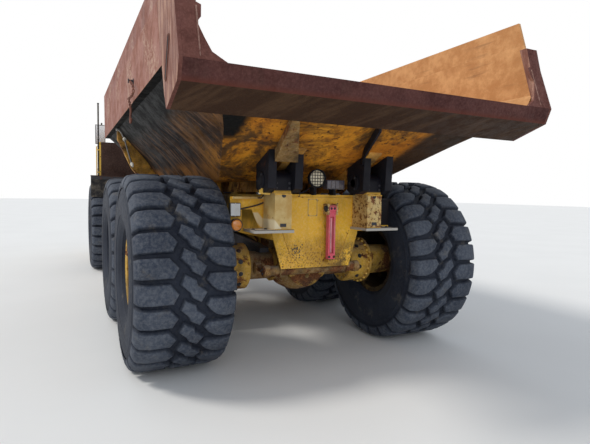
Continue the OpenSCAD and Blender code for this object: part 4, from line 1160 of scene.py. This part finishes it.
@rides("front_unit", "body_rust", ["guard_brown_shaded", "black_plastic", "dark_steel"], smooth=30, bevel=0.003,
        replaces=["rear_guard"])
def rear_guard_plate(bm):
    """The plate behind the cab, with the mud flaps under it, their strips and bolts."""
    unit_box(bm, front, (-0.59, -1.62, 1.71), (-0.565, 1.62, 2.7))
    for y in (-1.1, -0.35, 0.35, 1.1):
        unit_box(bm, front, (-0.604, y - 0.03, 1.73), (-0.59, y + 0.03, 2.68))
    unit_box(bm, front, (-0.6, -1.6, 2.68), (-0.565, 1.6, 2.7))
    for side in BOTH:
        for x0, x1, z0, z1, look in ((-0.75, -0.59, 1.99, 2.01, 0), (-0.75, -0.742, 1.93, 1.99, 2),
                (-0.742, -0.716, 1.57, 1.99, 1)):
            side_box(bm, front, side, (x0, 1.18, z0), (x1, 1.825, z1), look)
        for k in range(5):
            bolt(bm, front(-0.75, side * (1.24 + 0.13 * k), 1.96), BACK, 0.01, 0.01, look=2)


@rides("front_unit", "black_plastic", ["black_plastic", "strip_yellow"], smooth=35)
def handrails_and_poles(bm):
    """Rails over the ladders with their feet, and the pole and bar beside the guard."""
    for side in BOTH:
        y = side * 1.53
        tube(bm, rounded([front(1.08, y, DECK_TOP), front(1.08, y, 2.912), front(1.45, y, 2.912),
                front(1.45, y, DECK_TOP)], 0.09), 0.018, 12)
        tube(bm, [front(1.08, y, 2.48), front(1.45, y, 2.48)], 0.015, 10)
        for x in (1.08, 1.45):
            turned(bm, front(x, y, DECK_TOP), UP, [(0, 0.045), (0.01, 0.045), (0.012, 0.026), (0.03, 0.022)], 20)
            for k in range(4):
                bolt(bm, front(x + 0.033 * math.cos(k * QUARTER_TURN + 0.8),
                        y + 0.033 * math.sin(k * QUARTER_TURN + 0.8), 2.04), UP, 0.005, 0.006, False)
        tube(bm, [front(-0.545, side * 1.666, 1.93), front(-0.545, side * 1.666, 3.49)], 0.016, 12)
        for z in (2.12, 2.6):
            side_box(bm, front, side, (-0.562, 1.645, z), (-0.528, 1.684, z + 0.04))
        turned(bm, front(-0.545, side * 1.666, 3.48), UP, [(0, 0.016), (0.004, 0.02), (0.016, 0.02), (0.02, 0.012)],
                12)
        side_box(bm, front, side, (-0.58, 1.69, 2.0), (-0.565, 1.712, 2.61), 1)
        for z in (2.07, 2.53):
            side_box(bm, front, side, (-0.58, 1.645, z), (-0.565, 1.694, z + 0.022), 1)


@rides("rear_unit", "frame_yellow", ["axle_brown", "dark_steel"], smooth=35, bevel=0.003)
def axle_rods(bm):
    """Tube under the end plate with the rods and brackets that hold the rear axle."""
    turned(bm, rear(-0.42, -0.56, AXLE_Z), LEFT, shaft(1.12, 0.05, 0.006, 0.006), 32)
    for side in BOTH:
        tube(bm, [rear(-0.42, side * 0.52, AXLE_Z), rear(-0.16, side * 0.52, AXLE_Z)], 0.03, 20)
        for x in (-0.42, -0.19):
            turned(bm, rear(x, side * 0.485, AXLE_Z), (0, side, 0), shaft(0.07, 0.058, 0.004, 0.006), 28)
        side_box(bm, rear, side, (-0.45, 0.35, 0.93), (-0.39, 0.38, 1.27))
        turned(bm, rear(-0.42, side * 0.38, AXLE_Z), (0, side, 0), cap(0.012, 0.07, 0.002, 0.008), 28)
        bolt_circle(bm, rear(-0.42, side * 0.56, AXLE_Z), (0, side, 0), 0.026, 3, 0.008, 0.01, look=1)
    weld(bm, rear(-0.452, -0.35, 0.985), rear(-0.452, -0.22, 0.985), 0.006, look=1)


@rides("rear_unit", "dark_steel", ["dark_steel"], smooth=35)
def drive_shaft_set(bm):
    """Shafts between the axles and on to the neck, with their yokes, and the front bearing's carrier."""
    for x0, x1 in ((0.42, 1.64), (2.37, 3.38)):
        turned(bm, rear(x0 + 0.1, 0, AXLE_Z), AHEAD,
                [(0, 0.036), (0.03, 0.045), (x1 - x0 - 0.23, 0.045), (x1 - x0 - 0.2, 0.036)], 24)
        collar(bm, rear(x0 + 0.4, 0, AXLE_Z), AHEAD, 0.044, [(0, 0.054), (0.18, 0.054)], 24)
        for x, way in ((x0, 1), (x1, -1)):
            turned(bm, rear(x, 0, AXLE_Z), (way, 0, 0),
                    [(0.001, 0.085), (0.016, 0.085), (0.018, 0.07), (0.03, 0.06)], 28)
            bolt_circle(bm, rear(x + way * 0.016, 0, AXLE_Z), (way, 0, 0), 0.072, 8, 0.007, 0.01, False)
            for y, z, axis in ((-0.058, AXLE_Z, LEFT), (0, AXLE_Z - 0.058, UP)):
                turned(bm, rear(x + way * 0.062, y, z), axis, shaft(0.116, 0.022, 0.004, 0.004), 16)
            for s in BOTH:
                low, high = mirrored(s, 0.036, 0.054)
                near, far = mirrored(way, 0.02, 0.09)
                unit_box(bm, rear, (x + near, low, AXLE_Z - 0.028), (x + far, high, AXLE_Z + 0.028))
                near, far = mirrored(way, 0.035, 0.11)
                unit_box(bm, rear, (x + near, -0.028, AXLE_Z + low), (x + far, 0.028, AXLE_Z + high))
    unit_box(bm, rear, (3.38, -0.12, 0.84), (3.48, 0.12, 1.08))
    for y in (-0.09, 0.09):
        for z in (0.88, 1.02):
            bolt(bm, rear(3.38, y, z), BACK, 0.011, 0.012)


# Fine pieces

@rides("rear_unit", "dark_steel", ["black_metal", "dark_steel", "weld_yellow", "strip_yellow"], smooth=32)
def hinge_fittings(bm):
    """Pin caps, keeper plates and welds of the hinge blocks over the end plate, and the spiked plate at their left."""
    for side in BOTH:
        for y, way in ((0.42, -side), (0.59, side)):
            turned(bm, rear(PIN_X, side * y, PIN_Z), (0, way, 0), [(-0.02, 0.0975), (0.006, 0.0975), (0.008, 0.092)],
                    32)
        unit_box(bm, rear, (-0.784, side * 0.505 - 0.03, 1.4), (-0.78, side * 0.505 + 0.03, 1.43), 1)
        for z in (1.755, 1.8, 1.85):
            for y in (0.442, 0.568):
                bolt(bm, rear(-0.764 + 0.45 * max(0, z - 1.8), side * y, z), BACK, 0.008, 0.012, look=1)
        weld(bm, rear(-0.783, side * 0.422, 1.7), rear(-0.783, side * 0.588, 1.7), 0.007, look=2)
        weld(bm, rear(-0.783, side * 0.422, 1.374), rear(-0.783, side * 0.588, 1.374), 0.007, look=2)
        bolt(bm, rear(-0.778, side * 0.501, 1.687), BACK, 0.014, 0.01, look=1)
    prism(bm, [(0.714, 1.7), (0.714, 1.734), (0.695, 1.742), (0.676, 1.798), (0.66, 1.752), (0.64, 1.768),
            (0.625, 1.722), (0.606, 1.717), (0.606, 1.69)], REAR_X - 0.706, REAR_X - 0.694, "x", 3)
    tube(bm, rounded([rear(-0.7, 0.66, 1.7), rear(-0.62, 0.66, 1.66), rear(-0.545, 0.66, 1.66)], 0.02), 0.006, 8, 1)


@rides("rear_unit", "frame_yellow", ["weld_yellow", "dark_steel", "bare_steel"], smooth=32)
def end_plate_fittings(bm):
    """Weld beads round the end plate, the outline of a lost plate with its rivets, pits and bolts."""
    rng = random.Random(8)
    x = PLATE_X
    for a, b in (((0.4, 1.672), (-0.4, 1.672)), ((0.386, 1.333), (0.275, 1.045)), ((-0.386, 1.333), (-0.275, 1.045))):
        weld(bm, rear(x, *a), rear(x, *b), 0.005, rng=rng)
    for y in (0.01, 0.095):
        for z in (1.492, 1.646):
            bolt(bm, rear(x, y, z), BACK, 0.004, 0.004, False, 1)
    bezel(bm, rear, (x - 0.0015, x), (0.0, 0.105), (1.483, 1.655), (0.0035, 0.0035), 2)
    for _ in range(46):
        y, z = 0.231 + rng.gauss(0, 0.042), 1.134 + rng.gauss(0, 0.03)
        if 1.03 < z < 1.22:
            turned(bm, rear(x + 0.002, y, z), BACK,
                    [(0, rng.uniform(0.003, 0.009)), (0.004, rng.uniform(0.002, 0.006))], 7, look=1)
    for y, z in ((-0.24, 1.61), (-0.19, 1.3), (0.3, 1.6), (0.33, 1.41)):
        bolt(bm, rear(x, y, z), BACK, 0.007, 0.007, False, 1)
    for side in BOTH:
        side_box(bm, rear, side, (-0.799, 0.402, 1.3702), (-0.78, 0.788, 1.374), 1)
        for y in (0.63, 0.75):
            bolt(bm, rear(PIN_X, side * y, 1.37), UP, 0.012, 0.012, look=1)
        weld(bm, rear(-0.503, side * 0.6, 1.368), rear(-0.503, side * 0.785, 1.368), 0.006, rng=rng)
    # Heads of the prop's pin on the clevis
    for way in BOTH:
        head = rear(-0.57, -0.125 + way * 0.058, 1.56)
        turned(bm, head, (0, way, 0), [(-0.004, 0.034), (0.005, 0.034), (0.007, 0.03)], 28, look=1)
        bolt(bm, head + Vector((0, way * 0.006, 0)), (0, way, 0), 0.02, 0.014, look=1)
    tube(bm, rounded([rear(-0.6, 0.292, 1.809), rear(-0.6, 0.25, 1.74), rear(-0.53, 0.214, 1.684),
            rear(-0.47, 0.214, 1.665)], 0.02), 0.004, 6, 1)
    # Cable from the lamps to the left wing
    tube(bm, rounded([rear(-0.49, 0.5, 1.66), rear(-0.505, 0.62, 1.6), rear(-0.497, 0.74, 1.57),
            rear(-0.49, 0.83, 1.55)], 0.05), 0.007, 8, 1)


@rides("prop", "prop_pink", ["prop_pink", "dark_steel", "pink_pale_strip"], smooth=32)
def prop_fittings(bm):
    """Bolt heads at both ends of the prop, a paler pink strip down its middle and a lip at both ends."""
    x, y, z = -0.57, -0.125, 1.56
    for side in BOTH:
        bolt(bm, rear(x - 0.036, y + side * 0.019, z + 0.002), BACK, 0.009, 0.01, look=1)
        bolt(bm, rear(x - 0.025, y + side * 0.028, 1.072), BACK, 0.009, 0.009, look=1)
    for dz in (1.09, 1.494):
        prism(bm, [(y - 0.022, dz), (y + 0.022, dz), (y + 0.016, dz + 0.016), (y - 0.016, dz + 0.016)],
                REAR_X + x - 0.0275, REAR_X + x - 0.024, "x", 0)
    tube(bm, [rear(x, y, 1.115), rear(x, y, 1.465)], 0.0095, 10, 2)


def make_wheel_details(place_name, x, side):
    """Wheel nuts, hub cap bolts, valve, lock ring and the bolt ring on the inner drum."""
    bm = bmesh.new()
    def at(y, r=0.0, a=0.0):
        return Vector((x + r * math.cos(a), side * (WHEEL_Y + y), AXLE_Z + r * math.sin(a)))
    out = (0, side, 0)
    bolt_circle(bm, at(0.1255), out, 0.247, 20, 0.016, 0.022, True, 0.1, 1)
    turned(bm, at(0.2855), out, [(0, 0.15), (0.006, 0.146), (0.01, 0.12), (0.024, 0.11), (0.028, 0.07)], 48)
    bolt_circle(bm, at(0.29), out, 0.131, 12, 0.01, 0.01, False, 0.0, 1)
    turned(bm, at(0.313, 0.055, -0.8), out, [(0, 0.014), (0.004, 0.014), (0.005, 0.01), (0.01, 0.01)], 6, look=1)
    collar(bm, at(0.318), out, 0.392, [(0, 0.404), (0.01, 0.412), (0.022, 0.408), (0.028, 0.398)], 72)
    collar(bm, at(0.195), out, 0.2105, [(0, 0.2145), (0.01, 0.2185), (0.012, 0.2145)], 56)
    for k in range(3):
        a = 0.9 + k * THIRD_TURN
        box(bm, at(0.322, 0.372, a) - Vector((0.016, 0.004, 0.016)),
                at(0.322, 0.372, a) + Vector((0.016, 0.012, 0.016)), 0)
    tube(bm, rounded([at(0.13, 0.3, 2.2), at(0.17, 0.33, 2.2), at(0.26, 0.35, 2.2)], 0.02), 0.007, 8, 1)
    turned(bm, at(0.255, 0.35, 2.2), out, cap(0.022, 0.009, 0.002, 0.003), 10, look=1)
    # Mud thrown on the inner edge of the rim as small clods
    rng = random.Random(round(x * 100) * 3 + side)
    for _ in range(16):
        a = rng.uniform(0, 2 * math.pi)
        size = rng.uniform(0.006, 0.016)
        turned(bm, at(0.128, rng.uniform(0.225, 0.33), a), out,
                [(0, size), (size * 0.5, size * 0.7), (size * 0.7, size * 0.2)], 7, rng.uniform(0, 3), 2)
    finish_piece(f"wheel_fittings_{place_name}", bm, f"wheel_{place_name}", "rim_paint",
            ["rim_paint", "bolt_tan", "mud_clods"], smooth=32)


for wheel in WHEELS:
    make_wheel_details(*wheel)


@rides("hoist_barrels", "cylinder_paint", ["cylinder_paint", "dark_steel"], smooth=35)
def hoist_ram_fittings(bm):
    """Gland rings, ports, clips and pipes of the hoist rams."""
    d = Vector((-HOIST_RUN, 0, HOIST_RISE))
    up = Vector((HOIST_RISE, 0, HOIST_RUN))
    for side in BOTH:
        base = rear(HOIST_START_X, side * HOIST_Y, HOIST_Z)
        collar(bm, base + d * 2.085, d, 0.0625,
                [(0, 0.11), (0.008, 0.118), (0.062, 0.118), (0.072, 0.11), (0.074, 0.085), (0.082, 0.075)], 40)
        bolt_circle(bm, base + d * 2.16, d, 0.096, 8, 0.009, 0.008, False, 0.2, 1)
        collar(bm, base + d * 0.3, d, 0.104, shaft(0.054, 0.112, 0.004, 0.003), 40)
        for along in (0.24, 1.98):
            place = base + d * along + up * 0.1
            turned(bm, place, up, [(0, 0.026), (0.022, 0.026), (0.024, 0.018), (0.04, 0.018)], 16, look=1)
        for along in (0.55, 1.15, 1.75):
            box(bm, base + d * along + up * 0.1 - Vector((0.015, 0.03, 0.004)),
                    base + d * along + up * 0.122 + Vector((0.015, 0.03, 0.004)), 1)
        pipe = [base + d * a + up * b for a, b in ((1.98, 0.138), (1.955, 0.15), (1.9, 0.122), (0.5, 0.122),
                (0.36, 0.15), (0.22, 0.15))]
        tube(bm, rounded(pipe, 0.02), 0.009, 10, 1)


def make_steer_fittings(hand, side):
    """Gland rings, ports and pipe of one steering ram."""
    bm = bmesh.new()
    start = Vector((HITCH_X + 1.05, side * 0.36, 1.02))
    way = Vector(BACK)
    collar(bm, start + way * 0.655, way, 0.0345,
            [(0, 0.064), (0.006, 0.07), (0.036, 0.07), (0.044, 0.06), (0.05, 0.046)], 32)
    collar(bm, start + way * 0.1, way, 0.0605, shaft(0.032, 0.067, 0.004, 0.003), 32)
    for along in (0.13, 0.62):
        turned(bm, start + way * along + Vector((0, 0, 0.058)), UP,
                [(0, 0.017), (0.014, 0.017), (0.016, 0.012), (0.028, 0.012)], 14, look=1)
    pipe = [start + way * a + Vector((0, 0, b))
            for a, b in ((0.62, 0.084), (0.58, 0.094), (0.17, 0.094), (0.13, 0.084))]
    tube(bm, rounded(pipe, 0.015), 0.0065, 10, 1)
    finish_piece(f"steer_ram_fittings_{hand}", bm, f"steer_barrel_{hand}", "cylinder_paint",
            ["cylinder_paint", "dark_steel"], smooth=35)


for hand in HANDS:
    make_steer_fittings(*hand)


@rides("hitch", "dark_steel", ["dark_steel"], smooth=35)
def hitch_ring_bolts(bm):
    """Bolts round the bearing's flange."""
    bolt_circle(bm, (HITCH_X - 0.43, 0, AXLE_Z), AHEAD, 0.27, 20, 0.013, 0.014, False)


@rides("front_unit", "frame_yellow", ["dark_steel"], smooth=35)
def hitch_cap_bolts(bm):
    """The pivot's cap with its bolts and grease nipple."""
    turned(bm, (HITCH_X, 0, 1.5195), UP, [(0, 0.15), (0.008, 0.146), (0.012, 0.11)], 40)
    bolt_circle(bm, (HITCH_X, 0, 1.529), UP, 0.128, 10, 0.012, 0.01, False)
    turned(bm, (HITCH_X, 0, 1.531), UP, cap(0.018, 0.008, 0.004, 0.003), 8)


@rides("dump_body", "body_rust", ["weld_rust"], smooth=30)
def body_seams(bm):
    """Welds at the lip's ends and the chips on its upper edge."""
    rng = random.Random(3)
    for side in BOTH:
        weld(bm, rear(-1.799, side * 1.6, 2.53), rear(LIP_X, side * 1.672, 2.53), 0.006, rng=rng)
        for y, w, h in ((1.25, 0.017, 0.5), (1.115, 0.012, 0.3), (1.02, 0.016, 0.4), (0.31, 0.012, 0.3),
                (-0.42, 0.016, 0.3)):
            turned(bm, rear(LIP_X, side * y, 2.508), UP, [(0, w), (0.005 * h, w * 0.8), (0.01 * h, w * 0.3)], 7, y)


@rides("dump_body", "body_rust", ["weld_rust", "dark_steel"], smooth=40)
def wall_chain(bm):
    """Chain and hook that hang on the left wall."""
    links = [rear(x, 1.692, z) for x, z in ((0.42, 2.82), (0.19, 2.73), (0.12, 2.66), (0.27, 2.64), (0.51, 2.66),
            (0.35, 2.53))]
    path = rounded(links, 0.04)
    lengths = [0.0]
    for a, b in zip(path, path[1:]):
        lengths.append(lengths[-1] + (b - a).length)
    step, at_length, turn = 0.03, 0.0, 0
    while at_length < lengths[-1]:
        k = max(i for i, value in enumerate(lengths) if value <= at_length)
        k = min(k, len(path) - 2)
        f = (at_length - lengths[k]) / max(1e-6, lengths[k + 1] - lengths[k])
        p = path[k].lerp(path[k + 1], f)
        along = (path[k + 1] - path[k]).normalized()
        across_link = Vector(LEFT) if turn % 2 else along.cross(Vector(LEFT))
        link = [p + along * 0.021 * math.cos(a) + across_link * 0.011 * math.sin(a) for a in angles(10)]
        loop(bm, link, 0.0042, 6)
        at_length += step
        turn += 1
    end = links[-1]
    hook = [end + Vector((dx, 0, dz)) for dx, dz in ((0, 0.01), (0, -0.04), (0.035, -0.075), (0.05, -0.11),
            (0.02, -0.14), (-0.02, -0.13), (-0.03, -0.1))]
    tube(bm, rounded(hook, 0.02), 0.011, 10)
    top = links[0]
    turned(bm, top + Vector((0, -0.042, 0)), LEFT,
            [(0, 0.03), (0.01, 0.03), (0.012, 0.016), (0.05, 0.014), (0.052, 0.022), (0.06, 0.022)], 20, look=1)


@rides("dump_body", "body_under", ["black_plastic", "pale_metal"], smooth=40)
def hanging_cable(bm):
    """Cable with a ferrule at its end, along the left of the body's bottom."""
    line = [rear(x, 1.6, z) for x, z in ((2.72, 2.615), (2.18, 2.5), (1.71, 2.35), (1.4, 2.18), (1.05, 2.02))]
    tube(bm, rounded(line, 0.2, 10), 0.01, 10)
    turned(bm, line[-1] + Vector((0.006, 0, 0.003)), (-0.9, 0, -0.43),
            [(0, 0.014), (0.015, 0.019), (0.045, 0.019), (0.05, 0.013), (0.085, 0.012)], 12, look=1)
    turned(bm, rear(1.78, 1.6, 2.373), (-0.95, 0, -0.3), shaft(0.061, 0.022, 0.006, 0.009), 12, look=1)
    turned(bm, rear(2.72, 1.6, 2.58), UP, [(0, 0.014), (0.004, 0.018), (0.03, 0.018), (0.034, 0.012)], 12, look=1)


@rides("dump_body", "body_rust", ["black_metal", "weld_rust"], smooth=40)
def post_slots(bm):
    """Long slot in each post: a dark plate with a raised edge."""
    for side in BOTH:
        y = side * 1.6835
        a, b = rear(-1.43, y, 2.47), rear(-1.52, y, 2.7)
        along = (b - a).normalized()
        wide = along.cross(Vector(LEFT)).normalized()
        slot = []
        for middle, first in ((b, -math.pi / 2), (a, math.pi / 2)):
            for k in range(9):
                t = first + math.pi * k / 8
                slot.append(middle + along * 0.026 * math.cos(t) + wide * 0.026 * math.sin(t))
        prism(bm, [(p.x, p.z) for p in slot], y - 0.003, y + 0.001)
        for k in range(len(slot)):
            p, q = slot[k], slot[(k + 1) % len(slot)]
            tube(bm, [p, q], 0.004, 6, 1)


@rides("hood", "cab_yellow", ["cab_yellow", "black_metal"], smooth=32)
def hood_fittings(bm):
    """Louvres, latches, rivets and handles on the hood."""
    for side in BOTH:
        for x in (1.25, 1.75, 2.25):
            for k in range(7):
                z = 1.78 + 0.045 * k
                prism(bm, [(side * 0.6395, z), (side * 0.652, z + 0.004), (side * 0.652, z + 0.009),
                        (side * 0.6395, z + 0.022)], FRONT_X + x - 0.17, FRONT_X + x + 0.17, "x")
        for x in (1.0, 2.6):
            side_box(bm, front, side, (x - 0.03, 0.64, 1.6), (x + 0.03, 0.655, 1.66), 1)
            turned(bm, front(x, side * 0.655, 1.63), (0, side, 0),
                    [(0, 0.018), (0.006, 0.018), (0.008, 0.01), (0.016, 0.01)], 16, look=1)
        for k in range(12):
            bolt(bm, front(0.88 + 0.165 * k, side * 0.64, 1.545), (0, side, 0), 0.006, 0.006, False, 1)
        tube(bm, rounded([front(1.6, side * 0.3, 2.425), front(1.6, side * 0.3, 2.475),
                front(1.84, side * 0.3, 2.425), front(1.84, side * 0.3, 2.37)], 0.02), 0.01, 10, 1)


@rides("hood", "dark_steel", ["black_metal"], smooth=40)
def grille_mesh(bm):
    """Wire mesh behind the grille's bars, and its bolts."""
    for k in range(35):
        y = -0.51 + 0.03 * k
        tube(bm, [front(2.818, y, 1.6), front(2.818, y, 2.04)], 0.0018, 5)
    for k in range(15):
        z = 1.61 + 0.03 * k
        tube(bm, [front(2.8175, -0.515, z), front(2.8175, 0.515, z)], 0.0018, 5)
    for y in (-0.49, 0.49, 0.0):
        for z in (1.62, 2.0):
            bolt(bm, front(2.85, y, z), AHEAD, 0.007, 0.006, False)


@rides("front_unit", "lamp_plastic", ["lens_clear", "black_metal", "dark_steel"], smooth=35)
def headlamp_lenses(bm):
    """Headlamp lenses and bezels, and the bumper's bolts and tow eyes."""
    for side in BOTH:
        for y in (0.925, 1.075):
            turned(bm, front(3.074, side * y, 1.41), AHEAD,
                    [(0, 0.066), (0.004, 0.066), (0.006, 0.06), (0.0035, 0.057)], 36, look=1)
            turned(bm, front(3.076, side * y, 1.41), AHEAD,
                    [(0, 0.056), (0.0015, 0.05), (0.003, 0.03), (0.0035, 0.008)], 32)
        for y in (0.3, 0.75, 1.15):
            for z in (0.78, 1.24):
                bolt(bm, front(3.068, side * y, z), AHEAD, 0.014, 0.01, False, 2)
        collar(bm, front(3.06, side * 0.52, 0.86), AHEAD, 0.03, cap(0.018, 0.052, 0.004, 0.006), 28, 2)


@rides("front_unit", "dark_steel", ["stack_metal", "black_metal"], smooth=35)
def exhaust_clamps(bm):
    """Clamps, cone and rim of the exhaust stack, and its heat shield of upright bars."""
    base = front(-0.35, -1.15, 0)
    for z in (2.1, 2.46, 2.82):
        collar(bm, base + Vector((0, 0, z)), UP, 0.1095, shaft(0.035, 0.116, 0.003, 0.002), 40)
        box(bm, base + Vector((0.112, -0.016, z + 0.002)), base + Vector((0.14, 0.016, z + 0.03)))
        bolt(bm, base + Vector((0.126, 0.016, z + 0.016)), LEFT, 0.008, 0.012)
    collar(bm, base + Vector((0, 0, 2.9)), UP, 0.0595, [(0, 0.105), (0.01, 0.098), (0.06, 0.07), (0.075, 0.066)], 40)
    for k in range(9):
        a = math.radians(120 + 15 * k)
        p = base + Vector((0.128 * math.cos(a), 0.128 * math.sin(a), 0))
        tube(bm, [p + Vector((0, 0, 2.14)), p + Vector((0, 0, 2.84))], 0.008, 6, 1)
    turned(bm, base + Vector((0, 0, 3.47)), UP, [(0, 0.062), (0.004, 0.065), (0.02, 0.065), (0.026, 0.061)], 36)


@rides("front_unit", "black_plastic", ["mirror_glass", "black_plastic"], smooth=35)
def mirror_faces(bm):
    """Glass, rims and clamps of the mirrors."""
    for side in BOTH:
        y = side * 1.53
        prism(bm, [(y - 0.098, 2.815), (y + 0.098, 2.815), (y + 0.098, 3.235), (y - 0.098, 3.235)], FRONT_X + 0.955,
                FRONT_X + 0.9595, "x")
        bezel(bm, front, (0.952, 0.96), (y - 0.108, y + 0.108), (2.803, 3.247), (0.01, 0.012), 1)
        for z in (2.92, 3.13):
            turned(bm, front(1.0, side * 1.5 - 0.026, z), LEFT, shaft(0.052, 0.024, 0.004, 0.004), 14, look=1)


def front_glass_x(z):
    """How far ahead the sloped windscreen is at a height, measured from the front axle."""
    return 0.78 - 0.18 * (z - 2.5) / 1.08


@rides("front_unit", "cab_yellow", ["cab_yellow", "black_plastic", "lens_clear"], smooth=35)
def cab_trim_parts(bm):
    """Rubber seals round the windscreen and the rear window, wiper, roof lamps, bolts and hinge caps."""
    for half, low, high, x_of in ((0.71, 2.6, 3.45, front_glass_x), (0.68, 2.75, 3.45, lambda z: -0.5)):
        corners = [(-half, low), (half, low), (half, high), (-half, high)]
        seal(bm, [front(x_of(z), y, z) for y, z in corners], 0.012, 1)
    tube(bm, rounded([front(front_glass_x(2.58) + 0.012, -0.1, 2.565),
            front(front_glass_x(2.62) + 0.03, -0.14, 2.66), front(front_glass_x(3.2) + 0.022, -0.3, 3.22)], 0.03),
            0.008, 8, 1)
    tube(bm, [front(front_glass_x(2.78) + 0.014, -0.33, 2.8), front(front_glass_x(3.32) + 0.014, -0.3, 3.34)], 0.007,
            6, 1)
    turned(bm, front(front_glass_x(2.56), -0.1, 2.56), (1, 0, 0.167),
            [(-0.02, 0.024), (0.022, 0.024), (0.03, 0.014)], 18, look=1)
    for side in BOTH:
        for x, way in ((0.842, 1), (-0.532, -1)):
            turned(bm, front(x - way * 0.09, side * 0.62, 3.645), (way, 0, 0),
                    [(0, 0.03), (0.02, 0.048), (0.07, 0.052), (0.078, 0.048)], 28, look=1)
            turned(bm, front(x - way * 0.013, side * 0.62, 3.645), (way, 0, 0),
                    [(0, 0.046), (0.003, 0.04), (0.006, 0.018)], 24, look=2)
    for y in (-0.8, -0.4, 0.0, 0.4, 0.8):
        for z in (2.0, 2.45):
            bolt(bm, front(-0.5, y, z), BACK, 0.009, 0.008, False, 1)
    for z in (2.3, 3.05):
        turned(bm, front(-0.33, 0.857, z - 0.075), UP, [(-0.012, 0.01), (-0.008, 0.016), (0.0, 0.016)], 16, look=1)


@rides("cab_door", "cab_yellow", ["cab_yellow", "black_plastic"], smooth=35)
def door_fittings(bm):
    """Seal, handle, lock and ribs of the cab door."""
    seal(bm, [front(x, 0.842, z) for x, z in ((-0.24, 2.6), (0.43, 2.6), (0.43, 3.38), (-0.24, 3.38))], 0.011, 1)
    tube(bm, rounded([front(0.455, 0.84, 2.42), front(0.455, 0.876, 2.42), front(0.455, 0.876, 2.56),
            front(0.455, 0.84, 2.56)], 0.012), 0.009, 10, 1)
    turned(bm, front(0.455, 0.84, 2.35), LEFT, [(0, 0.024), (0.006, 0.024), (0.008, 0.016), (0.014, 0.016)], 20,
            look=1)
    for k in range(4):
        unit_box(bm, front, (-0.22, 0.8395, 2.16 + 0.1 * k), (0.42, 0.8465, 2.172 + 0.1 * k), 0)


@rides("front_unit", "cab_trim", ["black_plastic", "dark_steel", "lens_grey", "cab_trim"], smooth=40)
def cab_controls(bm):
    """Steering wheel, levers, dials and a cushioned seat inside the cab."""
    hub = front(0.44, 0.0, 2.56)
    lean = Vector((-0.55, 0, 0.83)).normalized()
    tube(bm, [front(0.56, 0, 2.42), hub], 0.028, 12)
    ring(bm, hub + lean * 0.03, lean, 0.205, 0.014, 48, 10)
    u, v = frame_of(lean)[1:]
    for k in range(3):
        a = k * THIRD_TURN + 0.5
        tube(bm, [hub + lean * 0.02, hub + lean * 0.03 + spoke(u, v, a) * 0.2], 0.01, 8)
    turned(bm, hub, lean, [(0, 0.03), (0.03, 0.045), (0.042, 0.04)], 20)
    for y in (-0.42, -0.34, 0.36):
        tube(bm, rounded([front(0.2, y, 2.05), front(0.22, y, 2.42), front(0.16, y, 2.56)], 0.05), 0.01, 8)
        turned(bm, front(0.16, y, 2.54), (-0.1, 0, 1), [(0, 0.014), (0.02, 0.024), (0.045, 0.024), (0.06, 0.012)],
                16, look=1)
    for y in (-0.2, -0.07, 0.07, 0.2):
        turned(bm, front(0.452, y, 2.478), BACK, [(0, 0.04), (0.006, 0.042), (0.01, 0.036)], 24)
        turned(bm, front(0.443, y, 2.478), BACK, [(0, 0.034), (0.0012, 0.033)], 24, look=2)
    for k in range(7):
        z0 = 2.46 + 0.075 * k
        tube(bm, [front(-0.258, -0.23, z0), front(-0.258, 0.23, z0)], 0.014, 8, 3)
    for k in range(6):
        x0 = -0.22 + 0.065 * k
        tube(bm, [front(x0, -0.24, 2.352), front(x0, 0.24, 2.352)], 0.014, 8, 3)
    turned(bm, front(-0.1, 0, 1.93), UP, [(0, 0.17), (0.03, 0.17), (0.05, 0.12), (0.14, 0.12), (0.15, 0.16),
            (0.16, 0.16)], 28)


# Stage

def make_stage():
    """A pale floor that runs out of view."""
    bm = bmesh.new()
    bmesh.ops.create_grid(bm, x_segments=2, y_segments=2, size=90)
    mesh = bpy.data.meshes.new("floor")
    bm.to_mesh(mesh)
    bm.free()
    floor = bpy.data.objects.new("floor", mesh)
    bpy.context.scene.collection.objects.link(floor)
    s = Shader("floor_pale")
    soft = s.cloud(0.6, 4, 0.5, 0.3, 0.7)
    s.finish(s.mix(soft, (0.8, 0.8, 0.79), (0.82, 0.82, 0.81)), 0.9)
    mesh.materials.append(M["floor_pale"])


make_camera()
make_world()
make_sun("key", (0.3, 0.72, 0.78), 1.7, 14, (1.0, 0.96, 0.9))
make_sun("fill", (-0.85, 0.1, 0.45), 0.55, 40, (0.92, 0.95, 1.0))
make_stage()
bpy.context.scene.view_settings.view_transform = "Standard"
